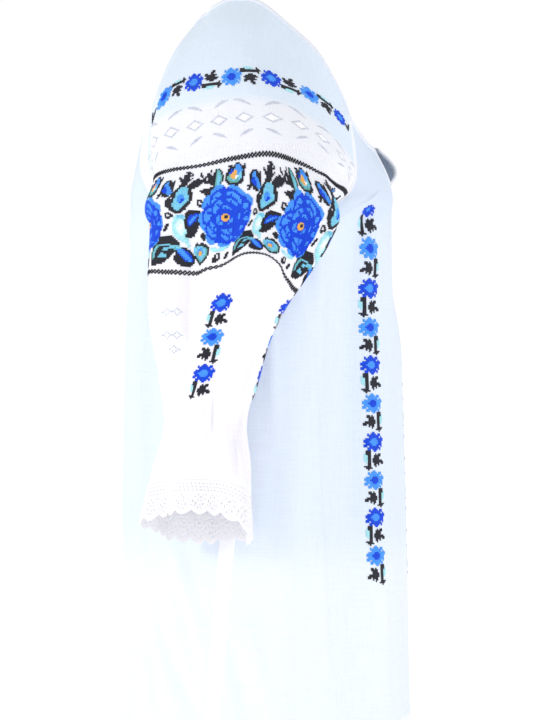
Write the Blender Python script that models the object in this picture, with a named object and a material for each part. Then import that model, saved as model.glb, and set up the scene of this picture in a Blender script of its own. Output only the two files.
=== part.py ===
"""Romanian ie blouse worn on a general figure, as hollow cloth walls.

Millimetres below, metres in Blender. Z is up, the wearer faces -Y and the wearer's
right is -X. Z is 0 at the side neck points. Every surface is one function of two cloth
directions, worked out from the tables of sections, seams and folds.
"""

import math

import bpy
import numpy as np

# Cloth and seams
WALL = 1.5
LACE_WALL = 1.0
SEAM_GAP = 0.3
MITRE_LIMIT = 2.6

# Lengths down a sleeve's crest, from the neckline
UNDERARM = 235.0
CLOTH_END = 478.0
LACE_END = 507.0
CUFF_SLANT = 14.0

# How finely each piece is made
SEAM_STEPS = (0, 0.1, 0.2, 0.3, 0.4, 0.5, 0.6, 0.7, 0.8, 0.88, 0.94, 1)
SEAM_LEVELS = len(SEAM_STEPS) - 1
SLEEVE_ROWS_BELOW = (262, 290, 315, 340, 365, 388, 408, 425, 441, 459, CLOTH_END)
BODY_ROWS_BELOW = 10
SLEEVE_COLUMNS = 36
FRONT_COLUMNS = 36
BACK_COLUMNS = 28
SCALLOPS = 22
SCALLOP_STEPS = 4
SCALLOP_DEPTH = 4.0

# Gathers at the wrist and waves of the cuff, all round
GATHERS = 9
GATHER_HEIGHT = 2.0
CUFF_WAVES = 5
CUFF_WAVE_HEIGHT = 6.0

# Neck binding, a strip folded over the edge
BINDING_DEPTH = 4.5
BINDING_WALL = 1.0
BINDING_REST = 0.4

# The body's round, for the way its folds point
BODY_HALF_WIDTH = 170.0
BODY_DEPTH = 120.0

# Half arcs of the panel rows at the neckline, degrees
FRONT_NECK_ARC = 48.0
BACK_NECK_ARC = 55.0

# Sleeve sections: down, crest x, y, z, lean, turn, depth, reach, half arc
SLEEVE_SECTIONS = (
    (0, -100, 14, -1, 86, 0, 90, 85, 76),
    (55, -148, 12, -35, 64, 3, 88, 87, 84),
    (108, -187, 7, -79, 50, 6, 84, 88, 96),
    (150, -209, -3, -117, 41, 9, 78, 88, 108),
    (195, -226, -12, -159, 33, 11, 66, 86, 126),
    (235, -238, -11, -198, 26, 9, 43, 82, 180),
    (282, -244, -2, -244, 19, 6, 35, 72, 180),
    (340, -241, 12, -302, 9, 4, 33, 57, 180),
    (395, -235, 20, -357, 2, 2, 25, 42, 180),
    (428, -231, 23, -390, 0, 0, 21, 36, 180),
    (460, -237, 25, -422, 0, 0, 25, 43, 180),
    (507, -244, 28, -469, 2, 0, 28, 49, 180),
)

# Raglan seams from the neckline to the underarm: level, x, y, z
FRONT_SEAM = (
    (0.00, -75, -81, -109),
    (0.25, -80, -86, -140),
    (0.50, -91, -87, -172),
    (0.72, -116, -74, -192),
    (0.88, -141, -43, -206),
    (1.00, -160, -5, -227),
)
BACK_SEAM = (
    (0.00, -70, 68, -31),
    (0.25, -92, 93, -72),
    (0.50, -114, 104, -124),
    (0.75, -136, 90, -178),
    (0.90, -152, 50, -213),
    (1.00, -160, -5, -227),
)

# Side seam from the underarm to the hem: level, x, y, z
SIDE_SEAM = (
    (1.00, -160, -5, -227),
    (1.25, -167, 0, -336),
    (1.50, -172, 6, -451),
    (1.75, -177, 15, -568),
    (2.00, -180, 24, -684),
)

# Middle line of each panel: level, y, z
FRONT_MIDDLE = (
    (0.00, -91, -134),
    (0.40, -106, -169),
    (1.00, -107, -238),
    (1.25, -108, -338),
    (1.50, -111, -452),
    (1.75, -115, -568),
    (2.00, -120, -684),
)
BACK_MIDDLE = (
    (0.00, 74, -48),
    (0.30, 106, -100),
    (0.60, 127, -160),
    (1.00, 139, -238),
    (1.25, 141, -338),
    (1.50, 141, -452),
    (1.75, 140, -568),
    (2.00, 139, -684),
)

# Neck slit: level, x of the wearer's right edge, x and y shift of the left edge
SLIT = (
    (0.0, -6.0, 8.0, 0.0),
    (0.1, -5.0, 13.0, -3.0),
    (0.2, -3.5, 14.0, -4.5),
    (0.3, -1.8, 9.0, -3.0),
    (0.4, 0.0, 0.0, 0.0),
)
SLIT_LEVELS = 4

# Folds of a panel: across, first level, last level, height, half width
FRONT_FOLDS = (
    (0.22, 0.75, 2.40, 5.0, 0.11),
    (-0.22, 0.75, 2.40, 5.0, 0.11),
    (0.45, 0.75, 2.10, -20.0, 0.17),
    (-0.45, 0.75, 2.10, -19.0, 0.17),
    (0.70, 1.40, 2.50, 5.0, 0.10),
    (-0.72, 1.30, 2.50, 6.0, 0.11),
    (0.03, 1.30, 2.50, -4.0, 0.08),
)
BACK_FOLDS = (
    (0.00, 0.70, 2.50, -5.0, 0.12),
    (0.27, 0.70, 2.50, 6.0, 0.11),
    (-0.25, 0.80, 2.50, 6.0, 0.12),
    (0.52, 0.90, 2.40, -8.0, 0.13),
    (-0.54, 0.90, 2.40, -8.0, 0.12),
    (0.76, 1.40, 2.50, 4.0, 0.09),
    (-0.75, 1.50, 2.50, 4.0, 0.09),
)

# Folds of a sleeve: around, first row, last row, height, half width
SLEEVE_FOLDS = (
    (-0.52, -120, 120, -12.0, 0.46),
    (0.34, -100, 100, -6.0, 0.30),
    (-0.14, 245, 415, -11.0, 0.10),
    (0.06, 225, 345, 6.0, 0.09),
    (-0.36, 250, 400, 5.0, 0.11),
    (0.30, 262, 420, -6.0, 0.09),
    (0.47, 200, 400, 5.0, 0.10),
    (-0.62, 260, 420, -6.0, 0.10),
    (0.70, 270, 420, -5.0, 0.10),
)

COLLECTION = "romanian_ie_blouse"
LINEN = (0.86, 0.90, 0.97, 1.0)
LACE = (0.95, 0.95, 0.97, 1.0)


def curve(table, column, at):
    """Smooth values of one column of a table between its rows."""
    xs = np.array([row[0] for row in table], float)
    ys = np.array([row[column] for row in table], float)
    at = np.atleast_1d(np.asarray(at, float))
    step = np.diff(xs)
    rise = np.diff(ys) / step
    inner = (rise[:-1] * step[1:] + rise[1:] * step[:-1]) / (step[:-1] + step[1:])
    slope = np.concatenate([rise[:1], inner, rise[-1:]])
    i = np.clip(np.searchsorted(xs, at, side="right") - 1, 0, len(xs) - 2)
    s = (at - xs[i]) / step[i]
    start = (2 * s**3 - 3 * s**2 + 1) * ys[i] + (s**3 - 2 * s**2 + s) * step[i] * slope[i]
    end = (3 * s**2 - 2 * s**3) * ys[i + 1] + (s**3 - s**2) * step[i] * slope[i + 1]
    return start + end


def ease(x):
    """0 to 1 with level ends."""
    x = np.clip(x, 0, 1)
    return x * x * (3 - 2 * x)


def bump(distance):
    """1 at the middle of a fold and 0 from its edge on."""
    return np.cos(np.clip(np.abs(distance), 0, 1) * math.pi / 2) ** 2


def folds(table, across, along):
    """Height of all the folds of a table at these places."""
    total = np.zeros_like(across)
    for place, first, last, height, half in table:
        run = np.clip((along - first) / (last - first), 0, 1)
        total = total + height * bump((across - place) / half) * np.sin(math.pi * run) ** 0.8
    return total


def unit(vectors):
    """The same directions at length 1."""
    return vectors / np.linalg.norm(vectors, axis=-1, keepdims=True)


def sleeve_push(down, around):
    """How far folds, gathers and cuff waves push a sleeve's cloth out."""
    angle = math.pi * around
    push = folds(SLEEVE_FOLDS, around, down)
    wrist = bump((down - 428) / 34)
    push = push + GATHER_HEIGHT * wrist * np.cos(GATHERS * angle + 0.6 * np.sin(2 * angle))
    cuff = ease((down - 436) / 70)
    wave = np.cos(CUFF_WAVES * angle + 0.5 * np.sin(angle) + 0.8)
    return push + CUFF_WAVE_HEIGHT * cuff * wave


def sleeve_ring(down, around):
    """A sleeve's section, an ellipse arc hung from its crest."""
    columns = [curve(SLEEVE_SECTIONS, column, down) for column in range(1, 9)]
    x, y, z, lean, turn, depth, reach, arc = columns
    arc = np.where(down >= UNDERARM, 180.0, np.minimum(arc, 180.0))
    lean, turn, angle = np.radians(lean), np.radians(turn), np.radians(arc * around)
    outward = np.cos(lean)
    up = np.stack([-outward * np.cos(turn), -outward * np.sin(turn), np.sin(lean)], -1)
    fore = np.stack([np.sin(turn), -np.cos(turn), 0 * turn], -1)
    push = sleeve_push(down, around)
    middle = np.stack([x, y, z], -1) - depth[:, None] * up
    rise = (depth + push) * np.cos(angle)
    side = (reach + push) * np.sin(angle)
    return middle + rise[:, None] * up + side[:, None] * fore


def sleeve(down, around):
    """Right sleeve's outer face: around is -1 at the back seam, 1 at the front seam."""
    down, around = np.broadcast_arrays(np.asarray(down, float), np.asarray(around, float))
    shape = down.shape
    down, around = down.ravel(), around.ravel()
    points = sleeve_ring(down, around)
    level = np.clip(down / UNDERARM, 0, 1)
    for side, seam in ((1, FRONT_SEAM), (-1, BACK_SEAM)):
        end = np.stack([curve(seam, column, level) for column in (1, 2, 3)], -1)
        pull = end - sleeve_ring(np.minimum(down, UNDERARM), np.full_like(around, side))
        share = ease(side * around) * (1 - ease((down - UNDERARM) / 60))
        points = points + pull * share[:, None]
    points[:, 2] -= CUFF_SLANT * ease((down - 430) / 80) * (1 - np.cos(math.pi * around))
    return points.reshape(shape + (3,))


def panel(level, across, middle, seam, neck_arc, table):
    """A body panel's outer face: across is -1 at the wearer's right seam, 1 at the left."""
    level, across = np.broadcast_arrays(np.asarray(level, float), np.asarray(across, float))
    shape = level.shape
    level, across = level.ravel(), across.ravel()
    upper = [curve(seam, column, np.clip(level, 0, 1)) for column in (1, 2, 3)]
    lower = [curve(SIDE_SEAM, column, np.clip(level, 1, 2)) for column in (1, 2, 3)]
    end_x, end_y, end_z = [np.where(level < 1, a, b) for a, b in zip(upper, lower)]
    middle_y, middle_z = curve(middle, 1, level), curve(middle, 2, level)
    arc = np.radians(neck_arc + (90 - neck_arc) * ease(level))
    lift = (np.cos(arc * across) - np.cos(arc)) / (1 - np.cos(arc))
    x = -end_x * np.sin(arc * across) / np.sin(arc)
    y = end_y + (middle_y - end_y) * lift
    z = end_z + (middle_z - end_z) * lift
    facing = np.where(middle_y < 0, -1.0, 1.0)
    lean = np.arctan2(BODY_DEPTH * np.sin(arc * across), BODY_HALF_WIDTH * np.cos(arc * across))
    push = folds(table, across, level)
    points = np.stack([x + push * np.sin(lean), y + facing * push * np.cos(lean), z], -1)
    return points.reshape(shape + (3,))


def front(level, across):
    """The front panel's outer face, before its neck slit is opened."""
    return panel(level, across, FRONT_MIDDLE, FRONT_SEAM, FRONT_NECK_ARC, FRONT_FOLDS)


def back(level, across):
    """The back panel's outer face."""
    return panel(level, across, BACK_MIDDLE, BACK_SEAM, BACK_NECK_ARC, BACK_FOLDS)


def front_half(level, across, side):
    """One half of the front panel with the slit open: side is -1 on the wearer's right."""
    points = front(level, across)
    inside = np.clip(level, 0, SLIT[-1][0])
    share = 1 - np.abs(across)
    open_slit = (level < SLIT[-1][0]) * share
    if side < 0:
        points[..., 0] += open_slit * curve(SLIT, 1, inside.ravel()).reshape(share.shape)
    else:
        points[..., 0] += open_slit * curve(SLIT, 2, inside.ravel()).reshape(share.shape)
        shift = curve(SLIT, 3, inside.ravel()).reshape(share.shape)
        points[..., 1] += open_slit * share * shift
    return points


def settle(points):
    """Left neckline and sleeve hang a little further back than the right ones."""
    x, y, z = points[..., 0], points[..., 1], points[..., 2]
    share = ease(x / 80) * ease((30 - y) / 90) * (1 - ease((-z - 190) / 140))
    return points + np.stack([0 * x, 25 * share, -5 * share * ease((120 + z) / 60)], -1)


def facing_out(points, outward, closed_from=None):
    """Normals of a grid of points, on the side that the outward vector points to."""
    down = np.gradient(points, axis=0)
    across = np.gradient(points, axis=1)
    if closed_from is not None:
        ring = points[closed_from:]
        joined = ring[:, 1] - ring[:, -2]
        across[closed_from:, 0] = joined
        across[closed_from:, -1] = joined
    normals = unit(np.cross(across, down))
    row, column = points.shape[0] // 2, points.shape[1] // 2
    return normals * np.sign(normals[row, column] @ np.array(outward, float))


def mitre(first, second):
    """Where two walls meet: the offset that both share, for a wall of thickness 1."""
    total = (first + second) / (1 + np.sum(first * second, -1, keepdims=True)).clip(1e-6)
    length = np.linalg.norm(total, axis=-1, keepdims=True)
    return total / length * np.minimum(length, MITRE_LIMIT)


class Wall:
    """One closed wall between an outer and an inner grid of points.

    A patch is a grid of point numbers. Patches share points where they are joined, and
    the open edges of all patches together become the wall's narrow end faces.
    """

    def __init__(self):
        self.outer = []
        self.inner = []
        self.patches = []

    def add(self, outer, inner, shared=None):
        """Adds a grid, joined to numbers given in shared as (row, column): number."""
        shared = shared or {}
        numbers = np.zeros(outer.shape[:2], int)
        for row in range(outer.shape[0]):
            for column in range(outer.shape[1]):
                number = shared.get((row, column))
                if isinstance(number, tuple):
                    number = numbers[number]
                if number is None:
                    number = len(self.outer)
                    self.outer.append(outer[row, column])
                    self.inner.append(inner[row, column])
                numbers[row, column] = number
        self.patches.append(numbers)
        return numbers

    def mesh(self):
        """Points and triangles of the closed wall, split alike inside and outside."""
        count = len(self.outer)
        points = np.array(self.outer + self.inner)
        triangles = []
        for grid in self.patches:
            cells = zip(grid[:-1, :-1].flat, grid[1:, :-1].flat, grid[1:, 1:].flat, grid[:-1, 1:].flat)
            for cell in cells:
                corners = list(dict.fromkeys(int(number) for number in cell))
                triangles += split(corners, points)
        edges = {pair for face in triangles for pair in zip(face, face[1:] + face[:1])}
        faces = list(triangles)
        faces += [tuple(number + count for number in reversed(face)) for face in triangles]
        for a, b in sorted(edges):
            if (b, a) not in edges:
                faces += split([b, a, a + count, b + count], points)
        return points, faces


def split(corners, points):
    """Triangles of a cell, cut along its shorter diagonal."""
    if len(corners) == 3:
        return [tuple(corners)]
    a, b, c, d = corners
    first = np.linalg.norm(points[a] - points[c])
    second = np.linalg.norm(points[b] - points[d])
    return [(a, b, c), (a, c, d)] if first < second else [(a, b, d), (b, c, d)]


def volume(points, faces):
    """Signed volume, above 0 where the faces point out."""
    total = 0.0
    for face in faces:
        for b, c in zip(face[1:-1], face[2:]):
            total += points[face[0]] @ np.cross(points[b], points[c])
    return total / 6


def solid(name, points, faces, colour, roughness):
    """Puts one closed body into the collection with its own material."""
    if volume(points, faces) < 0:
        faces = [tuple(reversed(face)) for face in faces]
    mesh = bpy.data.meshes.new(name)
    mesh.from_pydata((points / 1000).tolist(), [], faces)
    mesh.update()
    material = bpy.data.materials.new(name)
    material.use_nodes = True
    shader = material.node_tree.nodes["Principled BSDF"]
    shader.inputs["Base Color"].default_value = colour
    shader.inputs["Roughness"].default_value = roughness
    mesh.materials.append(material)
    bpy.data.collections[COLLECTION].objects.link(bpy.data.objects.new(name, mesh))


def surfaces():
    """Outer points and wall offsets of the right sleeve, the back and the front halves."""
    rows, levels = sleeve_rows(), body_levels()
    around = np.linspace(-1, 1, SLEEVE_COLUMNS + 1)
    points = {"sleeve": sleeve(rows[:, None], around[None, :])}
    offsets = {"sleeve": facing_out(points["sleeve"], (-1, 0, 0), SEAM_LEVELS)}
    across = np.linspace(-1, 1, BACK_COLUMNS + 1)
    points["back"] = back(levels[:, None], across[None, :])
    offsets["back"] = facing_out(points["back"], (0, 1, 0))
    across = np.linspace(-1, 1, FRONT_COLUMNS + 1)
    grid = np.broadcast_arrays(levels[:, None], across[None, :])
    for name, side in (("front_right", -1), ("front_left", 1)):
        points[name] = front_half(grid[0], grid[1], side)
        offsets[name] = facing_out(points[name], (0, -1, 0))
    return points, offsets


def join_at_seams(points, offsets):
    """Gives walls that meet at a seam one shared offset, and pulls the panels' edges in."""
    mirror = np.array([-1, 1, 1])
    seam = slice(0, SEAM_LEVELS + 1)
    ring = offsets["sleeve"]
    corner = unit(offsets["front_right"][SEAM_LEVELS, 0] + offsets["back"][SEAM_LEVELS, 0])
    under = mitre(unit(ring[SEAM_LEVELS, 0] + ring[SEAM_LEVELS, -1]), corner)
    for names, column, direction in ((("front_right", "front_left"), -1, -1), (("back",), 0, 1)):
        panel_normals = offsets[names[0]][seam, 0]
        shared = mitre(ring[seam, column], panel_normals)
        shared[-1] = under
        line = points["sleeve"][seam, column]
        into = points[names[0]][seam, 1] - points[names[0]][seam, 0]
        inward = unit(np.cross(np.gradient(line, axis=0), shared))
        inward = inward * np.sign(np.sum(inward * into, -1, keepdims=True))
        inward[-1] = (1.0, 0.0, 0.0)
        ring[seam, column] = shared
        for name in names:
            for edge_column, flip in ((0, 1), (-1, mirror)):
                offsets[name][seam, edge_column] = shared * flip
                offsets[name][SEAM_LEVELS + 1 :, edge_column] = np.array([-1.0, 0, 0]) * flip
                points[name][seam, edge_column] += SEAM_GAP * inward * flip
                points[name][SEAM_LEVELS:, edge_column, 1] += direction * SEAM_GAP / 2
    ring[SEAM_LEVELS, 0] = ring[SEAM_LEVELS, -1] = under


def build_sleeves(outer, inner):
    """Both sleeves, open at the neckline and cuff and closed below the underarm."""
    joined = {(row, SLEEVE_COLUMNS): (row, 0) for row in range(SEAM_LEVELS, len(outer))}
    wall = Wall()
    wall.add(outer, inner, joined)
    points, faces = wall.mesh()
    solid("sleeve_right", settle(points), faces, LINEN, 0.85)
    solid("sleeve_left", settle(points * np.array([-1, 1, 1])), faces, LINEN, 0.85)


def sleeve_rows():
    """Rows of a sleeve: the levels of the raglan seams, then those below the underarm."""
    upper = UNDERARM * np.array(SEAM_STEPS)
    return np.concatenate([upper, np.array(SLEEVE_ROWS_BELOW, float)])


def body_levels():
    """Levels of a body panel's rows, from the neckline to the hem."""
    upper = np.array(SEAM_STEPS, float)
    lower = np.linspace(1, 2, BODY_ROWS_BELOW + 1)[1:]
    return np.concatenate([upper, lower])


def build_back(outer, inner):
    """The back panel."""
    wall = Wall()
    wall.add(outer, inner)
    points, faces = wall.mesh()
    solid("back_panel", settle(points), faces, LINEN, 0.85)


def build_front(right, left):
    """The front panel: two halves joined below the neck slit."""
    wall = Wall()
    numbers = wall.add(*right)
    levels = len(right[0])
    joined = {(row, 0): int(numbers[row, -1]) for row in range(SLIT_LEVELS, levels)}
    wall.add(*left, joined)
    points, faces = wall.mesh()
    solid("front_panel", settle(points), faces, LINEN, 0.85)


def build_lace():
    """A scalloped lace edge on each cuff, a hair below the sleeve's cloth."""
    steps = SCALLOPS * SCALLOP_STEPS
    around = np.linspace(-1, 1, steps + 1)
    scallop = SCALLOP_DEPTH * (1 - np.abs(np.sin(np.linspace(0, SCALLOPS * math.pi, steps + 1))))
    middle = (CLOTH_END + LACE_END) / 2
    rows = [CLOTH_END + SEAM_GAP + 0 * around, middle + 0 * around, LACE_END - scallop]
    outer = sleeve(np.stack(rows), around[None, :])
    normals = facing_out(outer, (-1, 0, 0), 0)
    inner = outer - LACE_WALL * normals
    wall = Wall()
    wall.add(outer, inner, {(row, steps): (row, 0) for row in range(3)})
    points, faces = wall.mesh()
    solid("lace_right", settle(points), faces, LACE, 0.8)
    solid("lace_left", settle(points * np.array([-1, 1, 1])), faces, LACE, 0.8)


def between(grid, row, column):
    """A point of a grid at a fractional row and column."""
    top, left = int(row), int(column)
    top, left = min(top, grid.shape[0] - 2), min(left, grid.shape[1] - 2)
    down, across = row - top, column - left
    first = grid[top, left] * (1 - across) + grid[top, left + 1] * across
    second = grid[top + 1, left] * (1 - across) + grid[top + 1, left + 1] * across
    return first * (1 - down) + second * down


def edge_frame(walls, row, column, down, across):
    """Edge point outside and inside, and the points one binding depth into the cloth.

    The arguments down and across say which way the cloth lies from this edge.
    """
    outer, inner = walls
    there = outer[row, column]
    place = [row, column]
    for axis, step in ((0, down), (1, across)):
        if step:
            beside = outer[(row + step, column) if axis == 0 else (row, column + step)]
            place[axis] += step * BINDING_DEPTH / np.linalg.norm(beside - there)
    place[1] = place[1] % (outer.shape[1] - 1) if place[1] < 0 else place[1]
    return there, inner[row, column], between(outer, *place), between(inner, *place)


def binding_path(walls):
    """Frames from the slit's lower end round the neckline and back to it."""
    right, left = walls["front_right"], walls["front_left"]
    last = right[0].shape[1] - 1
    path = [edge_frame(right, row, last, 0, -1) for row in range(SLIT_LEVELS - 1, 0, -1)]
    path.append(edge_frame(right, 0, last, 1, -1))
    path += [edge_frame(right, 0, column, 1, 0) for column in range(last - 2, 0, -1)]
    ring = [edge_frame(walls["sleeve"], 0, column, 1, 0) for column in range(SLEEVE_COLUMNS + 1)]
    path += ring[::-1]
    path += [edge_frame(walls["back"], 0, column, 1, 0) for column in range(1, BACK_COLUMNS)]
    mirror = np.array([-1, 1, 1])
    path += [tuple(point * mirror for point in frame) for frame in ring]
    path += [edge_frame(left, 0, column, 1, 0) for column in range(last - 1, 1, -1)]
    path.append(edge_frame(left, 0, 0, 1, 1))
    path += [edge_frame(left, row, 0, 0, 1) for row in range(1, SLIT_LEVELS)]
    return [np.array(points) for points in zip(*path)]


def build_binding(walls):
    """The narrow binding, folded over the edge of the neckline and slit."""
    outer, inner, outer_deep, inner_deep = binding_path(walls)
    out = unit(outer - inner)
    into = unit(outer_deep - outer)
    rest, full = BINDING_REST, BINDING_REST + BINDING_WALL
    rings = [
        outer_deep + rest * out,
        outer_deep + full * out,
        outer + full * (out - into),
        inner - full * (out + into),
        inner_deep - full * out,
        inner_deep - rest * out,
        inner - rest * (out + into),
        outer + rest * (out - into),
    ]
    rings = np.stack(rings, 1)
    count, corners = rings.shape[:2]
    faces = []
    for ring in range(count - 1):
        for corner in range(corners):
            following = (corner + 1) % corners
            a, b = ring * corners, (ring + 1) * corners
            faces.append((a + corner, a + following, b + following, b + corner))
    last = (count - 1) * corners
    for quad in ((0, 1, 2, 7), (2, 3, 6, 7), (3, 4, 5, 6)):
        faces.append(tuple(reversed(quad)))
        faces.append(tuple(last + number for number in quad))
    solid("neck_binding", settle(rings.reshape(-1, 3)), faces, LACE, 0.8)


def main():
    """Builds every piece of the blouse."""
    for item in list(bpy.data.objects):
        bpy.data.objects.remove(item, do_unlink=True)
    collection = bpy.data.collections.new(COLLECTION)
    bpy.context.scene.collection.children.link(collection)
    points, offsets = surfaces()
    join_at_seams(points, offsets)
    walls = {name: (points[name], points[name] - WALL * offsets[name]) for name in points}
    middle = FRONT_COLUMNS // 2
    walls["front_right"] = tuple(grid[:, : middle + 1] for grid in walls["front_right"])
    walls["front_left"] = tuple(grid[:, middle:] for grid in walls["front_left"])
    build_sleeves(*walls["sleeve"])
    build_back(*walls["back"])
    build_front(walls["front_right"], walls["front_left"])
    build_lace()
    build_binding(walls)


main()
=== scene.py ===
"""Looks of a Romanian ie blouse: white cloth, seams, lace and counted embroidery.

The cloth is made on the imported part's own form. Its surfaces are functions of two cloth
directions, from the same tables of sections, seams and folds as the part, with finer
creases on top. Millimetres in the tables, metres in Blender. Z is up, the wearer faces -Y.
"""

from __future__ import annotations

import logging
import math
from collections.abc import Callable
from dataclasses import dataclass, field
from enum import Enum

import bmesh
import bpy
import numpy as np
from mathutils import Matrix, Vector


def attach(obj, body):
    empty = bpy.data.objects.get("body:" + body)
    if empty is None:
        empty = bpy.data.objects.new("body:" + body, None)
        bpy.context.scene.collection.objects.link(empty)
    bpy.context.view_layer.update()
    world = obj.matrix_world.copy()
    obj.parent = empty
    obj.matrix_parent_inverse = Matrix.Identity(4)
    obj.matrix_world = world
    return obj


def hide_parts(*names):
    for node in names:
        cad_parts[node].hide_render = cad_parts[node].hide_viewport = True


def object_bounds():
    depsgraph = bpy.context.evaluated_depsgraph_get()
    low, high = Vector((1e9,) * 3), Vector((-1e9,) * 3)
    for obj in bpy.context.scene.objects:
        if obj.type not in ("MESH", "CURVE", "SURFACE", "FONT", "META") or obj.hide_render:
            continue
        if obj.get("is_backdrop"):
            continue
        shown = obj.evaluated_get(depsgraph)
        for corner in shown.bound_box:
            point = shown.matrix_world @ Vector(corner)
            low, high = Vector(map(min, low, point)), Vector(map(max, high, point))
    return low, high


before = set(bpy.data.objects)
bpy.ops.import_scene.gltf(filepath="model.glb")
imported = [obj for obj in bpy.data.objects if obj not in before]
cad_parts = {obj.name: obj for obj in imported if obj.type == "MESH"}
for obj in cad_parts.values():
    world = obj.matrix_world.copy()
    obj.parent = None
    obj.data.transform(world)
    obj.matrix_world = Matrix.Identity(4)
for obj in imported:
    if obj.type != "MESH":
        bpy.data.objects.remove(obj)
CAD_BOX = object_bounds()

log = logging.getLogger("ie_blouse")

Grid = np.ndarray
Surface = Callable[[Grid, Grid], Grid]
Chart = tuple[str, ...]
# What feeds a node's input: another node's output, a number, or numbers
Feed = bpy.types.NodeSocket | float | tuple

MM = 0.001

# Lengths down a sleeve's crest, from the neckline
UNDERARM = 235.0
WRIST = 428.0
CLOTH_END = 478.0
LACE_END = 507.0

# How much lower a cuff hangs at its inner side than at its crest, and at its front
CUFF_SLANT = 14.0
CUFF_FRONT_DROP = 15.0

# How the left neckline and sleeve differ from the right ones: they hang further back and
# lower, and the neckline is lower again, so that the right one hides it
LEFT_BACK = 25.0
LEFT_DROP = 5.0
LEFT_NECK_DROP = 7.0

# Gathers at the wrist and waves of the cuff, all round
GATHERS = 9
GATHER_HEIGHT = 2.0
FINE_GATHERS = 31
FINE_GATHER_HEIGHT = 0.45
CUFF_WAVES = 5
CUFF_WAVE_HEIGHT = 6.0
CUFF_RIPPLES = 17
CUFF_RIPPLE_HEIGHT = 0.6

# The body's round, for the way its folds point
BODY_HALF_WIDTH = 170.0
BODY_DEPTH = 120.0
BODY_LEVEL = 446.0
BODY_HALF_ROUND = 245.0
SLEEVE_HALF_ROUND = 150.0

# Fine creases fade out over this share of a half round beside a seam, and of a level at the neck
SEAM_FADE = 0.05
NECK_FADE = 0.08

# Half arcs of the panel rows at the neckline, degrees
FRONT_NECK_ARC = 48.0
BACK_NECK_ARC = 55.0

# Sleeve sections: down, crest x, y, z, lean, turn, depth, reach, half arc
SLEEVE_SECTIONS = (
    (0, -100, 14, -1, 86, 0, 90, 85, 76),
    (55, -148, 12, -35, 64, 3, 88, 87, 84),
    (108, -187, 7, -79, 50, 6, 84, 88, 96),
    (150, -209, -3, -117, 41, 9, 78, 88, 108),
    (195, -226, -12, -159, 33, 11, 66, 86, 126),
    (235, -238, -11, -198, 26, 9, 43, 82, 180),
    (282, -244, -2, -244, 19, 6, 35, 72, 180),
    (340, -241, 12, -302, 9, 4, 33, 57, 180),
    (395, -235, 20, -357, 2, 2, 25, 42, 180),
    (428, -231, 23, -390, 0, 0, 21, 36, 180),
    (460, -237, 25, -422, 0, 0, 25, 43, 180),
    (507, -244, 28, -469, 2, 0, 28, 49, 180),
)

# Raglan seams from the neckline to the underarm: level, x, y, z
FRONT_SEAM = (
    (0.00, -75, -81, -109),
    (0.25, -80, -86, -140),
    (0.50, -91, -87, -172),
    (0.72, -116, -74, -192),
    (0.88, -141, -43, -206),
    (1.00, -160, -5, -227),
)
BACK_SEAM = (
    (0.00, -70, 68, -31),
    (0.25, -92, 93, -72),
    (0.50, -114, 104, -124),
    (0.75, -136, 90, -178),
    (0.90, -152, 50, -213),
    (1.00, -160, -5, -227),
)

# Side seam from the underarm to the hem: level, x, y, z
SIDE_SEAM = (
    (1.00, -160, -5, -227),
    (1.25, -167, 0, -336),
    (1.50, -172, 6, -451),
    (1.75, -177, 15, -568),
    (2.00, -180, 24, -684),
)

# Middle line of each panel: level, y, z
FRONT_MIDDLE = (
    (0.00, -91, -134),
    (0.40, -106, -169),
    (1.00, -107, -238),
    (1.25, -108, -338),
    (1.50, -111, -452),
    (1.75, -115, -568),
    (2.00, -120, -684),
)
BACK_MIDDLE = (
    (0.00, 74, -48),
    (0.30, 106, -100),
    (0.60, 127, -160),
    (1.00, 139, -238),
    (1.25, 141, -338),
    (1.50, 141, -452),
    (1.75, 140, -568),
    (2.00, 139, -684),
)

# Neck slit: level, x of the wearer's right edge, x and y shift of the left edge. The left
# edge stands up to 6 mm further out than the part's, so that its binding shows.
SLIT = (
    (0.0, -6.0, 8.0, -2.0),
    (0.1, -5.0, 13.0, -8.0),
    (0.2, -3.5, 14.0, -10.5),
    (0.3, -1.8, 9.0, -8.0),
    (0.4, 0.0, 0.0, 0.0),
)
SLIT_END = 0.4

# Folds of a panel: across, first level, last level, height, half width
FRONT_FOLDS = (
    (0.22, 0.75, 2.40, 5.0, 0.11),
    (-0.22, 0.75, 2.40, 5.0, 0.11),
    (0.45, 0.75, 2.10, -20.0, 0.17),
    (-0.45, 0.75, 2.10, -19.0, 0.17),
    (0.70, 1.40, 2.50, 5.0, 0.10),
    (-0.72, 1.30, 2.50, 6.0, 0.11),
    (0.03, 1.30, 2.50, -4.0, 0.08),
)
BACK_FOLDS = (
    (0.00, 0.70, 2.50, -5.0, 0.12),
    (0.27, 0.70, 2.50, 6.0, 0.11),
    (-0.25, 0.80, 2.50, 6.0, 0.12),
    (0.52, 0.90, 2.40, -8.0, 0.13),
    (-0.54, 0.90, 2.40, -8.0, 0.12),
    (0.76, 1.40, 2.50, 4.0, 0.09),
    (-0.75, 1.50, 2.50, 4.0, 0.09),
)

# Folds of a sleeve: around, first row, last row, height, half width
SLEEVE_FOLDS = (
    (-0.52, -120, 120, -12.0, 0.46),
    (0.34, -100, 100, -6.0, 0.30),
    (-0.14, 245, 415, -11.0, 0.10),
    (0.06, 225, 345, 6.0, 0.09),
    (-0.36, 250, 400, 5.0, 0.11),
    (0.30, 262, 420, -6.0, 0.09),
    (0.47, 200, 400, 5.0, 0.10),
    (-0.62, 260, 420, -6.0, 0.10),
    (0.70, 270, 420, -5.0, 0.10),
)

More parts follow.
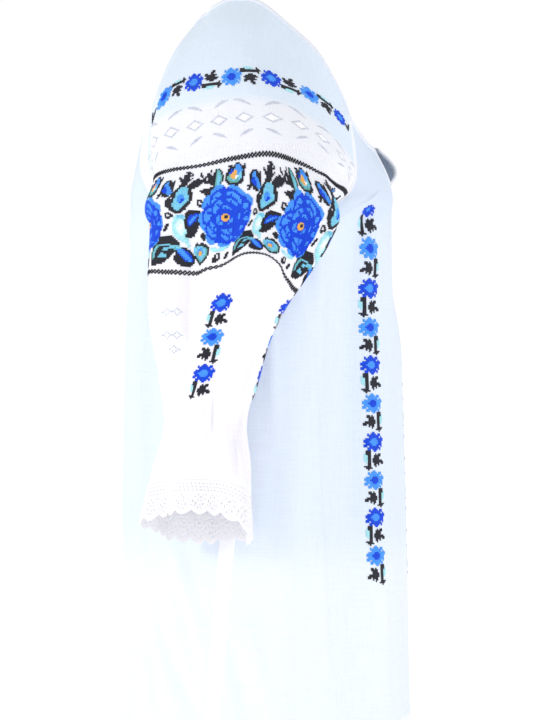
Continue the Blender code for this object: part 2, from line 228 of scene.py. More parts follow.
# Broad pushes that bring a sleeve to the photo's outline: around, half width, down, half
# length, height. The back of the upper sleeve and the front of the lower one go in, and the
# neckline on both sides of its crest stands up.
SLEEVE_PUSHES = (
    (-0.82, 0.34, 112, 105, -8.0),
    (-0.76, 0.36, 168, 75, -8.0),
    (0.50, 0.34, 330, 80, -8.0),
    (0.36, 0.40, 0, 55, 3.5),
    (-0.46, 0.24, 0, 45, 3.2),
)

# Soft creases: start down, around, end down, around, height, half width in mm
SLEEVE_CREASES = (
    (262, 0.14, 300, 0.02, 1.6, 9),
    (300, 0.24, 352, 0.12, -1.6, 9),
    (330, -0.20, 398, -0.08, 1.5, 7),
    (352, 0.30, 420, 0.20, 1.5, 7),
    (372, -0.34, 424, -0.28, -1.5, 7),
    (378, 0.06, 430, 0.02, -1.4, 6),
    (384, 0.42, 432, 0.36, -1.4, 6),
    (366, -0.52, 424, -0.44, 1.5, 7),
    (340, 0.58, 420, 0.50, 1.7, 8),
    (350, -0.80, 430, -0.72, 1.7, 8),
    (340, 0.86, 425, 0.80, -1.6, 8),
    (205, 0.70, 262, 0.52, -2.0, 12),
    (212, 0.86, 285, 0.66, 1.8, 11),
    (215, -0.78, 285, -0.62, 1.8, 12),
    (226, -0.90, 300, -0.78, -1.8, 10),
    (150, 0.60, 205, 0.50, 1.2, 14),
    (60, -0.20, 150, -0.30, 0.9, 20),
    (40, 0.20, 120, 0.34, -0.9, 20),
    (436, -0.16, 476, -0.22, 1.6, 7),
    (436, 0.26, 476, 0.30, -1.6, 7),
    (436, -0.52, 474, -0.50, -1.5, 8),
    (438, 0.62, 476, 0.66, 1.5, 8),
    (376, -0.22, 452, -0.24, -2.6, 5),
    (380, 0.06, 440, 0.10, -2.2, 4),
    (350, 0.46, 398, 0.43, -2.2, 5),
    (255, -0.16, 345, -0.16, -3.0, 9),
    (300, 0.22, 372, 0.28, -1.8, 10),
)

# Soft creases: start level, across, end level, across, height, half width in mm
FRONT_CREASES = (
    (0.80, -0.78, 1.22, -0.60, -2.4, 16),
    (0.84, 0.78, 1.24, 0.58, -2.4, 16),
    (0.90, -0.92, 1.45, -0.80, 2.0, 14),
    (0.92, 0.90, 1.50, 0.78, 2.0, 14),
    (1.25, -0.60, 1.75, -0.52, 1.6, 16),
    (1.30, 0.62, 1.80, 0.50, 1.6, 16),
    (1.78, -0.96, 1.99, -0.84, -4.5, 11),
    (1.74, -0.90, 1.98, -0.74, 3.5, 13),
    (1.80, 0.95, 1.99, 0.82, -4.0, 11),
    (1.60, -0.36, 1.95, -0.30, -1.4, 14),
    (1.62, 0.34, 1.96, 0.40, -1.4, 14),
    (0.50, -0.40, 0.85, -0.62, 1.5, 12),
    (0.50, 0.44, 0.88, 0.64, 1.5, 12),
    (0.70, -0.360, 1.75, -0.352, -7.0, 20),
    (0.70, 0.360, 1.75, 0.352, -7.0, 20),
    (1.05, -0.62, 1.60, -0.50, -3.0, 16),
    (1.50, -0.60, 1.97, -0.48, 3.5, 20),
    (0.74, -0.215, 1.92, -0.215, 1.6, 12),
    (0.74, 0.215, 1.92, 0.215, 1.6, 12),
    (0.42, 0.02, 0.95, 0.05, -1.3, 10),
    (1.10, -0.08, 1.70, -0.12, 1.2, 14),
    (1.15, 0.14, 1.75, 0.10, -1.2, 14),
)
BACK_CREASES = (
    (0.60, -0.50, 1.20, -0.40, 2.0, 18),
    (0.62, 0.52, 1.25, 0.42, 2.0, 18),
    (0.30, 0.10, 0.95, 0.14, -1.6, 16),
    (0.34, -0.16, 1.00, -0.12, 1.6, 14),
    (0.85, -0.86, 1.40, -0.74, -2.2, 15),
    (0.88, 0.86, 1.42, 0.72, -2.2, 15),
    (1.40, -0.64, 1.95, -0.60, 1.6, 16),
    (1.42, 0.66, 1.95, 0.58, 1.6, 16),
    (1.55, -0.10, 1.98, -0.06, -1.5, 14),
    (1.50, 0.14, 1.95, 0.18, 1.5, 14),
    (1.74, -0.98, 1.92, -0.80, 1.5, 10),
    (1.20, 0.36, 1.80, 0.32, -1.4, 16),
    (1.68, -0.50, 1.95, -0.93, -5.5, 15),
    (1.56, -0.68, 1.86, -0.97, 4.0, 13),
    (1.82, -0.45, 1.99, -0.70, 4.0, 15),
    (1.70, 0.55, 1.96, 0.92, -5.0, 15),
    (0.95, -0.55, 1.60, -0.68, -3.5, 16),
    (1.00, -0.40, 1.70, -0.44, 3.0, 16),
)


class Thread(Enum):
    """Embroidery cottons, by the letter that stands for them in a chart, and one pale grey of painted
    shade.
    """

    BLACK = "K"
    ROYAL = "D"
    BLUE = "M"
    TURQUOISE = "T"
    AQUA = "A"
    ICE = "E"
    SAGE = "G"
    GOLD = "O"
    WHITE = "W"
    # Pale grey stitches of painted shade, for the shade in the openwork's pulled holes
    SHADOW = "S"


THREAD_COLOURS = {
    Thread.BLACK: "#2B2B36",
    Thread.ROYAL: "#0C50E2",
    Thread.BLUE: "#50A4FA",
    Thread.TURQUOISE: "#86D2EC",
    Thread.AQUA: "#B5ECF4",
    Thread.ICE: "#E0F8FA",
    Thread.SAGE: "#6FB8B4",
    Thread.GOLD: "#F6C06A",
    Thread.WHITE: "#FDFCFF",
    # Painted shade: a pale grey for the shade in pulled holes
    Thread.SHADOW: "#D0D5E2",
}

# Counted charts, one letter a stitch. P and C are a flower's petals and centre.
FLOWER: Chart = (
    ".....PP......",
    "..P.PPPP.PP..",
    "..PPPPPPPPP..",
    "...PPPPPPP.P.",
    ".PPPPCCCPPPPP",
    "PPPPCCCCCPPPP",
    "PPPCCCCCCPPP.",
    ".PPPCCCCCPPP.",
    "PPPPPCCCPPPP.",
    "PP.PPPPPPP.P.",
    "..PPPPPPPPP..",
    "..PP.PPPP.P..",
    "......PP.....",
)
STEM_AND_LEAF: Chart = (
    ".KKK.........",
    ".KKK.........",
    "AKKK...K.KK..",
    "AAKK..KKKKK..",
    "AAKK..KKKK...",
    "AAKK.KKKKK...",
    "AAKK.KKKKKKK.",
    ".AKK.KKKKKKKK",
    "..KK..KKKK.KK",
    "..KK..KK.K...",
    "KKKK...K.....",
    ".KKKK........",
    "..K..........",
)
GARLAND_END: Chart = (
    "......KK",
    "......KK",
    ".....KK.",
    "KK...KK.",
    ".KK..KK.",
    ".KKKKK..",
    "..KKKK..",
    "...KKK..",
    "....K...",
)
# At half stitches, as its crosses are smaller than the other work's
CHAIN: Chart = (
    "K...K",
    "KK.KK",
    ".KKKK",
    "KKKK.",
    "KK.KK",
    "K...K",
)
BUD: Chart = (
    "..KKKK...",
    ".KKMMKK.K",
    "KKMMMKKKK",
    "KKMMMKKKK",
    "KKDDMMKKK",
    "KDDDMMMKK",
    "KDDDDMMKK",
    "KKDDDMMMK",
    ".KKDDMMMK",
    "..KKKMMMM",
    "..KKKKMM.",
    "....KKK..",
)
SPRAY: Chart = (
    "....KKK..",
    ".....KKK.",
    "...KKKK.K",
    "K..KKKKKK",
    "KK.KKKK..",
    ".KKKKKK.K",
    ".KKKKKKK.",
    "..KKKKK..",
    "..KKKK...",
    ".KKKKK...",
    ".KKKK....",
    "KKKKK....",
)
BRANCH: Chart = (
    ".............K",
    ".......K.....K",
    ".......K...KK.",
    ".......KK..KKK",
    "........K.KKKK",
    ".....KK..KK.KK",
    "...KKKKKKKK.K.",
    "..KKKKKKKKKKK.",
    ".KKKKKKKK.KKK.",
    "KKKKKKKK......",
    "KKKKKKK.......",
    "KKKKK.........",
    ".KK...........",
)
TULIP: Chart = (
    "......KKTTTTK...",
    ".....KKTTTTTTK..",
    "..KKKKKTTTTTTKK.",
    "...KKKTTTTTTTKK.",
    "...KKKTTTTTTTKKK",
    "..KKKKTTMMTTTKKK",
    ".KK.KKTMMMMTTTKK",
    "KKKKKTTMMMMTTTKK",
    "KKKKKTTMMDDMTTKK",
    "KKKKKTTMMDDTTTKK",
    "KKKKTTTTDDTTTKK.",
    "KKKKTTTTTTTTKKK.",
    ".KKKTTTTTTTKKK..",
    "..KKKTTTTTKKK...",
    "..KKKTTTTKKK....",
    "...KKKTTKKKK....",
    "....KKKKKK......",
    ".....KKKK.......",
)
SAGE_LEAF: Chart = (
    "...KGK...",
    "...KGGK..",
    "..KKGTGK.",
    "..KKGTGK.",
    ".KKKGTTGK",
    "KKKKGTTGK",
    "KKKKGTTGK",
    "KKKKGTTGK",
    "KKKKGTTK.",
    ".KKKGTTK.",
    "...KGTTK.",
    "....GTTK.",
    "....GTT..",
    "....GGT..",
    ".....G...",
)
DARK_LEAF: Chart = (
    "......KKKKK",
    "..KKKKKKKKK",
    "KKKKKKKKKK.",
    ".KKKKKKKKK.",
    "...KKKKKKK.",
    "....KKKKKK.",
    "......KKK..",
)
SMALL_FLOWER: Chart = (
    "......KKK....",
    ".KKK.KMMMK..K",
    "..KKKKMMMMKKK",
    ".KKDKMMMMMKKK",
    ".KKDDOOMMMMK.",
    "KKDDOOOMMTKK.",
    "KKGOOOOMTTKK.",
    "KGGOOOWWTTKK.",
    "KGGTOOWGTTK..",
    "KKGGTTGGTKK..",
    ".KKGGGGGKKK..",
    "..KKKKKKKK...",
    ".....KKK.....",
)
HEARTED_LEAF: Chart = (
    "...KKKKKKKK.",
    "..KKKKKKKKK.",
    ".KKKKKKDDDK.",
    ".KKKDDDDMDK.",
    ".KKDDDMMDKK.",
    ".KKDDMMDKKK.",
    "KKDDMMDDKKK.",
    "KKDMMDKKKKK.",
    "KKDMDKKKKK..",
    "KKDDKKKKK...",
    "KKKKKKKKK...",
    "KKKKKKKK....",
    ".KKKKKKK....",
    ".KKKKKK.....",
    ".KKKKK......",
    "KKKKKK......",
    "KKKK........",
)
AQUA_STEM: Chart = (
    "..ATTTT...",
    ".AATTTTT..",
    ".AAAATTA..",
    ".AAAEEAA..",
    "AAAEEEEA..",
    "AAEEEEEA..",
    "AAEEWWEEA.",
    "AAEEWWEEA.",
    "AAEWWWEEA.",
    "AAEEWEEAA.",
    "AAAEEEEAA.",
    "AAAEEEAAAA",
    ".AAAEEAAAA",
    ".AAAAAAAAA",
    "..AAAAAAA.",
    "...AAAAAA.",
    ".....AAAA.",
    ".......AA.",
    "........AA",
    "........A.",
)
CURLED_LEAF: Chart = (
    "......KKKKKKKKK....",
    ".....KKKKKKKKKKK...",
    "....KKKKKKKKKKKKK..",
    "...KKKKKKKKKKKKKKK.",
    "..KKKKKKKKKKKKKKKKK",
    "..KKGGTTTTTTTGKKKKK",
    ".KKGTGKKKKKKKTTTTTG",
    ".KGTGKKKKTTTTTTTTTT",
    ".KGTKKKKGTTTKKKKKK.",
    "KGTGKKKKKKKKKKKKK..",
    "KGTKKKKTTKKKKKKK...",
    "KGTKKKTTTTTKKKK....",
    "KGTKKTTTTTTKKK.....",
    "KGKKKKKKKKKKK......",
    "KKKKKKKKKKK........",
    "KKKKKKKKKK.........",
    "KKKKKKKK...........",
    "KKKK...............",
)
SLANTED_LEAF: Chart = (
    "GTTTKKK.....",
    "GMMMMDKKK...",
    "KKMMMMDDKK..",
    ".KDMMMMDDKK.",
    ".KKDMMMMDDKK",
    "KKKKDMMMMDKK",
    "KKKKKDMMMMDK",
    "KKKKKKDDMMDK",
    ".KKKKKKKKKKK",
    "..KKKKKKKKK.",
    "....KKKKKK..",
)
LOWER_FLOWER: Chart = (
    "..K..KKK....",
    ".KKKKKKKKK..",
    ".KTTTTTGKKK.",
    "TTTTTMMTTGKK",
    "TTTMMMMTTTGK",
    "TTTMOOOMTTGK",
    "TTGMOOOMTTGK",
    ".TGTOOOTTTGK",
    ".KGTTTTTTGGK",
    ".KKGTTTTTGK.",
    "..KKGGTTGKK.",
    "...KKGGGKK..",
    "....KKKKK...",
    ".....KK.....",
)
AQUA_CURL: Chart = (
    ".......AAAAA",
    "AAA..AAAAAAA",
    "AAAAAAAAAAT.",
    ".AAAAAAA....",
)
LOOP: Chart = (
    "KKK..",
    "K.KK.",
    "K..KK",
    "KKKKK",
    ".KK..",
)
LONG_LOOP: Chart = (
    "..KK",
    ".K.K",
    ".K.K",
    "KK.K",
    "KKKK",
    "KKK.",
    "KK..",
)
BIT: Chart = (
    "..KK",
    ".KKK",
    ".KK.",
    "KKK.",
    "KK..",
)
BLOB: Chart = (
    ".KK..",
    "KKKK.",
    "KKKKK",
    ".KKKK",
    "..KK.",
)
TWIG: Chart = (
    "..K.",
    "KKKK",
    ".KK.",
    "KK..",
)

# What goes with each rose of the upper sleeve panel: chart, columns and rows from the rose
ROSE_COMPANIONS = (
    (AQUA_STEM, -28, 10),
    (AQUA_CURL, -2, 21),
    (SMALL_FLOWER, 5, -25),
    (SAGE_LEAF, -7, -22),
    (DARK_LEAF, -11, -15),
    (LOOP, -15, -8),
    (HEARTED_LEAF, -20, 5),
    (BLOB, -14, 12),
    (BRANCH, -17, -23),
    (SPRAY, -26, -24),
    (TULIP, -28, -10),
    (BUD, -37, -20),
    (LOOP, -35, -1),
    (BIT, -37, 7),
    (TWIG, 14, -17),
    (LOWER_FLOWER, -15, 23),
    (LONG_LOOP, -5, 27),
    (BIT, 1, 27),
    (TWIG, 4, 18),
    (CURLED_LEAF, -39, 22),
    (SLANTED_LEAF, -26, 25),
)


def linear(hex_colour: str) -> tuple[float, float, float, float]:
    """Turns an sRGB hex colour to linear light.

    Args:
        hex_colour: A colour such as #E6F0FD.

    Returns:
        Red, green, blue and 1.
    """
    values = [int(hex_colour[i : i + 2], 16) / 255 for i in (1, 3, 5)]
    light = [v / 12.92 if v <= 0.04045 else ((v + 0.055) / 1.055) ** 2.4 for v in values]
    return (light[0], light[1], light[2], 1.0)


def curve(table: tuple, column: int, at: Grid) -> Grid:
    """Gives smooth values of one column of a table between its rows.

    Args:
        table: Rows of numbers, the first of each in rising order.
        column: The column to read.
        at: Places along the first column.

    Returns:
        One value for each place.
    """
    xs = np.array([row[0] for row in table], float)
    ys = np.array([row[column] for row in table], float)
    at = np.asarray(at, float)
    step = np.diff(xs)
    rise = np.diff(ys) / step
    inner = (rise[:-1] * step[1:] + rise[1:] * step[:-1]) / (step[:-1] + step[1:])
    slope = np.concatenate([rise[:1], inner, rise[-1:]])
    i = np.clip(np.searchsorted(xs, at, side="right") - 1, 0, len(xs) - 2)
    s = (at - xs[i]) / step[i]
    start = (2 * s**3 - 3 * s**2 + 1) * ys[i] + (s**3 - 2 * s**2 + s) * step[i] * slope[i]
    end = (3 * s**2 - 2 * s**3) * ys[i + 1] + (s**3 - s**2) * step[i] * slope[i + 1]
    return start + end


def ease(x: Grid) -> Grid:
    """Goes from 0 to 1 with level ends."""
    x = np.clip(x, 0, 1)
    return x * x * (3 - 2 * x)


def bump(distance: Grid) -> Grid:
    """Is 1 at the middle of a fold and 0 from its edge on."""
    return np.cos(np.clip(np.abs(distance), 0, 1) * math.pi / 2) ** 2


def folds(table: tuple, across: Grid, along: Grid) -> Grid:
    """Adds up the height of all the folds of a table.

    Args:
        table: Place across, first and last place along, height and half width.
        across: Places across the cloth.
        along: Places along the cloth.

    Returns:
        Heights in millimetres.
    """
    total = np.zeros_like(across)
    for place, first, last, height, half in table:
        run = np.clip((along - first) / (last - first), 0, 1)
        total = total + height * bump((across - place) / half) * np.sin(math.pi * run) ** 0.8
    return total


def creases(table: tuple, along: Grid, across: Grid, scale: tuple[float, float]) -> Grid:
    """Adds up soft creases, each along a straight line on the cloth.

    Args:
        table: Start and end on the cloth, height and half width.
        along: Places along the cloth.
        across: Places across the cloth.
        scale: Millimetres for one unit along and one unit across.

    Returns:
        Heights in millimetres.
    """
    total = np.zeros_like(across)
    for along_0, across_0, along_1, across_1, height, half in table:
        run = np.array([(along_1 - along_0) * scale[0], (across_1 - across_0) * scale[1]])
        u, v = (along - along_0) * scale[0], (across - across_0) * scale[1]
        share = (u * run[0] + v * run[1]) / (run @ run)
        gap = (u * run[1] - v * run[0]) / math.hypot(*run)
        taper = np.sin(math.pi * np.clip(share, 0, 1)) ** 0.7
        total = total + height * bump(gap / half) * taper
    return total


def unit(vectors: Grid) -> Grid:
    """Gives the same directions at length 1."""
    return vectors / np.linalg.norm(vectors, axis=-1, keepdims=True)


def settle(points: Grid) -> Grid:
    """Lets the left neckline and sleeve hang a little further back than the right ones."""
    x, y, z = points[..., 0], points[..., 1], points[..., 2]
    # It grows from the middle to the left shoulder and to the back, and ends above the cuff
    left = ease(x / 80)
    share = left * ease((30 - y) / 90) * (1 - ease((-z - 190) / 140))
    drop = LEFT_DROP * share * ease((120 + z) / 60)
    drop = drop + LEFT_NECK_DROP * left * bump((y + 10) / 60) * ease((60 + z) / 50)
    return points + np.stack([0 * x, LEFT_BACK * share, -drop], -1)


def sleeve_push(down: Grid, around: Grid) -> Grid:
    """Gives how far folds, gathers and cuff waves push a sleeve's cloth out."""
    angle = math.pi * around
    push = folds(SLEEVE_FOLDS, around, down)
    wrist = bump((down - WRIST) / 34)
    push = push + GATHER_HEIGHT * wrist * np.cos(GATHERS * angle + 0.6 * np.sin(2 * angle))
    cuff = ease((down - 436) / 70)
    wave = np.cos(CUFF_WAVES * angle + 0.5 * np.sin(angle) + 0.8)
    return push + CUFF_WAVE_HEIGHT * cuff * wave


def sleeve_ring(down: Grid, around: Grid) -> Grid:
    """Gives a sleeve's section, an ellipse arc hung from its crest."""
    columns = [curve(SLEEVE_SECTIONS, column, down) for column in range(1, 9)]
    x, y, z, lean, turn, depth, reach, arc = columns
    arc = np.where(down >= UNDERARM, 180.0, np.minimum(arc, 180.0))
    lean, turn, angle = np.radians(lean), np.radians(turn), np.radians(arc * around)
    outward = np.cos(lean)
    up = np.stack([-outward * np.cos(turn), -outward * np.sin(turn), np.sin(lean)], -1)
    fore = np.stack([np.sin(turn), -np.cos(turn), 0 * turn], -1)
    push = sleeve_push(down, around)
    middle = np.stack([x, y, z], -1) - depth[..., None] * up
    rise = (depth + push) * np.cos(angle)
    side = (reach + push) * np.sin(angle)
    return middle + rise[..., None] * up + side[..., None] * fore


def sleeve_form(down: Grid, around: Grid) -> Grid:
    """Gives the part's right sleeve: around is -1 at the back seam, 1 at the front seam."""
    points = sleeve_ring(down, around)
    level = np.clip(down / UNDERARM, 0, 1)
    for side, seam in ((1, FRONT_SEAM), (-1, BACK_SEAM)):
        end = np.stack([curve(seam, column, level) for column in (1, 2, 3)], -1)
        pull = end - sleeve_ring(np.minimum(down, UNDERARM), np.full_like(around, side))
        share = ease(side * around) * (1 - ease((down - UNDERARM) / 60))
        points = points + pull * share[..., None]
    points[..., 2] -= CUFF_SLANT * ease((down - 430) / 80) * (1 - np.cos(math.pi * around))
    # The cuff's front hangs a little lower than the part's
    drop = CUFF_FRONT_DROP * bump((around - 0.46) / 0.30)
    points[..., 2] -= drop * ease((down - 440) / (LACE_END - 440))
    return points


def panel_form(
    level: Grid, across: Grid, middle: tuple, seam: tuple, neck_arc: float, table: tuple
) -> Grid:
    """Gives a body panel of the part.

    Args:
        level: 0 at the neckline, 1 at the underarm, 2 at the hem.
        across: -1 at the wearer's right seam, 1 at the left seam.
        middle: The panel's middle line.
        seam: The raglan seam at its edge.
        neck_arc: Half arc of its row at the neckline, in degrees.
        table: Its folds.

    Returns:
        Points in millimetres.
    """
    upper = [curve(seam, column, np.clip(level, 0, 1)) for column in (1, 2, 3)]
    lower = [curve(SIDE_SEAM, column, np.clip(level, 1, 2)) for column in (1, 2, 3)]
    end_x, end_y, end_z = [np.where(level < 1, a, b) for a, b in zip(upper, lower)]
    middle_y, middle_z = curve(middle, 1, level), curve(middle, 2, level)
    arc = np.radians(neck_arc + (90 - neck_arc) * ease(level))
    lift = (np.cos(arc * across) - np.cos(arc)) / (1 - np.cos(arc))
    x = -end_x * np.sin(arc * across) / np.sin(arc)
    y = end_y + (middle_y - end_y) * lift
    z = end_z + (middle_z - end_z) * lift
    facing = np.where(middle_y < 0, -1.0, 1.0)
    lean = np.arctan2(BODY_DEPTH * np.sin(arc * across), BODY_HALF_WIDTH * np.cos(arc * across))
    push = folds(table, across, level)
    return np.stack([x + push * np.sin(lean), y + facing * push * np.cos(lean), z], -1)


def back_form(level: Grid, across: Grid) -> Grid:
    """Gives the part's back panel."""
    return panel_form(level, across, BACK_MIDDLE, BACK_SEAM, BACK_NECK_ARC, BACK_FOLDS)


def front_form(level: Grid, across: Grid, side: int) -> Grid:
    """Gives one half of the part's front panel, with its slit open.

    Args:
        level: 0 at the neckline, 1 at the underarm, 2 at the hem.
        across: -1 at the wearer's right seam, 1 at the left seam.
        side: -1 for the wearer's right half, 1 for the left.

    Returns:
        Points in millimetres.
    """
    points = panel_form(level, across, FRONT_MIDDLE, FRONT_SEAM, FRONT_NECK_ARC, FRONT_FOLDS)
    inside = np.clip(level, 0, SLIT_END)
    share = 1 - np.abs(across)
    open_slit = (level < SLIT_END) * share
    points[..., 0] += open_slit * curve(SLIT, 1 if side < 0 else 2, inside)
    if side > 0:
        points[..., 1] += open_slit * share * curve(SLIT, 3, inside)
    return points


def offset(form: Surface, u: Grid, v: Grid, height: Grid, sign: float) -> Grid:
    """Moves a form's points out along its normals.

    Args:
        form: The form, a function of two cloth directions.
        u: Places in the first direction.
        v: Places in the second direction.
        height: How far to move each point, in millimetres.
        sign: 1 or -1, whichever makes the normals point out.

    Returns:
        Points in millimetres.
    """
    # Sleeves run down in millimetres, panels in levels up to 2
    step_u, step_v = (0.5, 0.002) if np.max(u) > 3 else (0.002, 0.002)
    down = form(u + step_u, v) - form(u - step_u, v)
    across = form(u, v + step_v) - form(u, v - step_v)
    normals = unit(np.cross(across, down)) * sign
    return form(u, v) + normals * height[..., None]


@dataclass(frozen=True)
class Cloth:
    """One cloth piece's surface: the part's form with fine creases, on either side."""

    form: Surface
    relief: Callable[[Grid, Grid], Grid]
    sign: float
    mirrored: bool = False

    def points(self, u: Grid, v: Grid, lift: Grid | float = 0.0) -> Grid:
        """Gives points on the cloth, moved out by a lift.

        Args:
            u: Places along the cloth, such as down a sleeve.
            v: Places across the cloth.
            lift: Height over the cloth in millimetres.

        Returns:
            Points in metres.
        """
        u, v, lift = np.broadcast_arrays(
            np.asarray(u, float), np.asarray(v, float), np.asarray(lift, float)
        )
        made = offset(self.form, u, v, self.relief(u, v) + lift, self.sign)
        if self.mirrored:
            made = made * np.array([-1.0, 1.0, 1.0])
        return settle(made) * MM

    def speed(self, u: Grid, v: Grid) -> Grid:
        """Gives the millimetres of cloth for one unit across, at these places."""
        step = 0.004
        ahead, behind = self.form(u, v + step), self.form(u, v - step)
        return np.linalg.norm(ahead - behind, axis=-1) / (2 * step)


def sleeve_relief(down: Grid, around: Grid) -> Grid:
    """Gives the fine creases and gathers of a sleeve, none at its seams."""
    height = creases(SLEEVE_CREASES, down, around, (1.0, SLEEVE_HALF_ROUND))
    for place, half_width, middle, half_length, push in SLEEVE_PUSHES:
        beside, along = (around - place) / half_width, (down - middle) / half_length
        height = height + push * bump(beside) * bump(along)
    angle = math.pi * around
    ripple = np.cos(FINE_GATHERS * angle + 1.3 * np.sin(3 * angle) + 0.7 * np.sin(7 * angle))
    height = height + FINE_GATHER_HEIGHT * bump((down - 424) / 30) * ripple
    cuff = ease((down - 430) / 20) * (1 - ease((down - 452) / 40))
    ripple = np.cos(CUFF_RIPPLES * angle + 1.1 * np.sin(2 * angle))
    height = height + CUFF_RIPPLE_HEIGHT * cuff * ripple
    return height * ease((1 - np.abs(around)) / SEAM_FADE)


def panel_relief(table: tuple) -> Callable[[Grid, Grid], Grid]:
    """Gives a panel's fine creases as a function, none at its seams and its neckline."""

    def relief(level: Grid, across: Grid) -> Grid:
        """Gives how far the creases stand out at these places."""
        height = creases(table, level, across, (BODY_LEVEL, BODY_HALF_ROUND))
        return height * ease((1 - np.abs(across)) / SEAM_FADE) * ease(level / NECK_FADE)

    return relief


SLEEVES = {
    "right": Cloth(sleeve_form, sleeve_relief, -1.0),
    "left": Cloth(sleeve_form, sleeve_relief, -1.0, mirrored=True),
}
FRONTS = {
    side: Cloth(
        lambda level, across, side=side: front_form(level, across, side),
        panel_relief(FRONT_CREASES),
        -1.0,
    )
    for side in (-1, 1)
}
BACK = Cloth(back_form, panel_relief(BACK_CREASES), 1.0)


def node(
    tree: bpy.types.NodeTree, kind: str, links: dict | None = None, **settings: object
) -> bpy.types.Node:
    """Adds one shader node with its settings and links.

    Args:
        tree: The node tree.
        kind: The node's type.
        links: What feeds each input: a socket, or a value to set on it.
        settings: Properties of the node.

    Returns:
        The new node.
    """
    made = tree.nodes.new(kind)
    for name, value in settings.items():
        setattr(made, name, value)
    for name, value in (links or {}).items():
        if isinstance(value, bpy.types.NodeSocket):
            tree.links.new(value, made.inputs[name])
        else:
            made.inputs[name].default_value = value
    return made


def blend(tree: bpy.types.NodeTree, share: Feed, first: Feed, second: Feed) -> bpy.types.NodeSocket:
    """Adds a mix of two colours and gives its result."""
    links = {0: share, 6: first, 7: second}
    return node(tree, "ShaderNodeMix", links, data_type="RGBA").outputs[2]


def shaded(tree: bpy.types.NodeTree, colour: Feed, shade: Feed) -> bpy.types.NodeSocket:
    """Adds a colour made darker or lighter and gives the result."""
    links = {0: 1.0, 6: colour, 7: shade}
    return node(tree, "ShaderNodeMix", links, data_type="RGBA", blend_type="MULTIPLY").outputs[2]


def sum_of(tree: bpy.types.NodeTree, first: Feed, second: Feed) -> bpy.types.NodeSocket:
    """Adds a sum of two values and gives its result."""
    return node(tree, "ShaderNodeMath", {0: first, 1: second}, operation="ADD").outputs[0]


def spread(
    tree: bpy.types.NodeTree, value: Feed, known: tuple[float, float], given: tuple[float, float]
) -> bpy.types.NodeSocket:
    """Adds a change of range, from the known limits of a value to the given ones."""
    links = {"Value": value, "From Min": known[0], "From Max": known[1]}
    links |= {"To Min": given[0], "To Max": given[1]}
    return node(tree, "ShaderNodeMapRange", links).outputs[0]


def finish_material(
    tree: bpy.types.NodeTree,
    colour: Feed,
    height: Feed,
    strength: float,
    distance: float,
    **settings: object,
) -> None:
    """Feeds a material's shader.

    Args:
        tree: The material's node tree.
        colour: What feeds its base colour.
        height: What feeds its bump.
        strength: The bump's strength.
        distance: The bump's depth in metres.
        settings: Properties of the bump.
    """
    shader = tree.nodes["Principled BSDF"]
    links = {"Height": height, "Strength": strength, "Distance": distance}
    relief = node(tree, "ShaderNodeBump", links, **settings)
    tree.links.new(colour, shader.inputs["Base Color"])
    tree.links.new(relief.outputs["Normal"], shader.inputs["Normal"])


@dataclass(frozen=True)
class PlainWeave:
    """Sheer plain-weave cotton and linen: soft, matt, with long uneven threads."""

    name: str
    single: str
    # Colour of the sleeve's whitework band, and of the painted light that lightens the cloth lower down
    white_band_and_painted_light: str
    doubled: str
    # How much darker a thin streak is, and its noise a millimetre across and along the thread
    slub: float = 0.05
    streak_across: float = 0.75
    streak_along: float = 0.030
    # The threads are drawn at 1.1 mm, as the real 0.4 mm is too fine to show
    thread_mm: float = 1.1

    def material(self) -> bpy.types.Material:
        """Builds the cloth: bluish where it is one layer, whiter where it is doubled, painted lighter
        lower down.
        """
        material, tree = start_material(self.name, roughness=0.88, specular=0.25, sheen=0.12)
        uv = node(tree, "ShaderNodeUVMap", uv_map="cloth").outputs["UV"]
        # Painted light: this attribute lightens the cloth below the chest, towards the hem and down the
        # lower sleeve. On the sleeve it also whitens the whitework band.
        white = node(tree, "ShaderNodeAttribute", attribute_name="white_band_and_painted_light").outputs["Fac"]
        layers = node(tree, "ShaderNodeAttribute", attribute_name="doubled").outputs["Fac"]
        plain = blend(tree, white, linear(self.single), linear(self.white_band_and_painted_light))
        base = blend(tree, layers, plain, linear(self.doubled))
        # Slubs: threads 0.4 mm apart vary in thickness, so long streaks over 1 mm wide show
        warp = self.streaks(tree, uv, (self.streak_across, self.streak_along, 1.0))
        weft = self.streaks(tree, uv, (self.streak_along, self.streak_across, 1.0))
        both = sum_of(tree, warp, weft)
        shade = spread(tree, both, (0.75, 1.25), (1 - self.slub, 1.0))
        height = sum_of(tree, both, self.weave(tree, uv))
        finish_material(tree, shaded(tree, base, shade), height, strength=0.28, distance=0.00025)
        return material

    def streaks(self, tree: bpy.types.NodeTree, uv: Feed, scale: tuple) -> bpy.types.NodeSocket:
        """Gives noise drawn out along the threads of one direction."""
        place = node(tree, "ShaderNodeMapping", {"Vector": uv, "Scale": scale}).outputs[0]
        noise = node(tree, "ShaderNodeTexNoise", {"Vector": place, "Scale": 1.0, "Detail": 2.0})
        return noise.outputs[0]

    def weave(self, tree: bpy.types.NodeTree, uv: Feed) -> bpy.types.NodeSocket:
        """Gives the over and under of the threads."""
        split = node(tree, "ShaderNodeSeparateXYZ", {0: uv})
        turn = math.pi / self.thread_mm
        waves = []
        for axis in ("X", "Y"):
            links = {0: split.outputs[axis], 1: turn}
            angle = node(tree, "ShaderNodeMath", links, operation="MULTIPLY").outputs[0]
            waves.append(node(tree, "ShaderNodeMath", {0: angle}, operation="SINE").outputs[0])
        return node(tree, "ShaderNodeMath", dict(enumerate(waves)), operation="MULTIPLY").outputs[0]


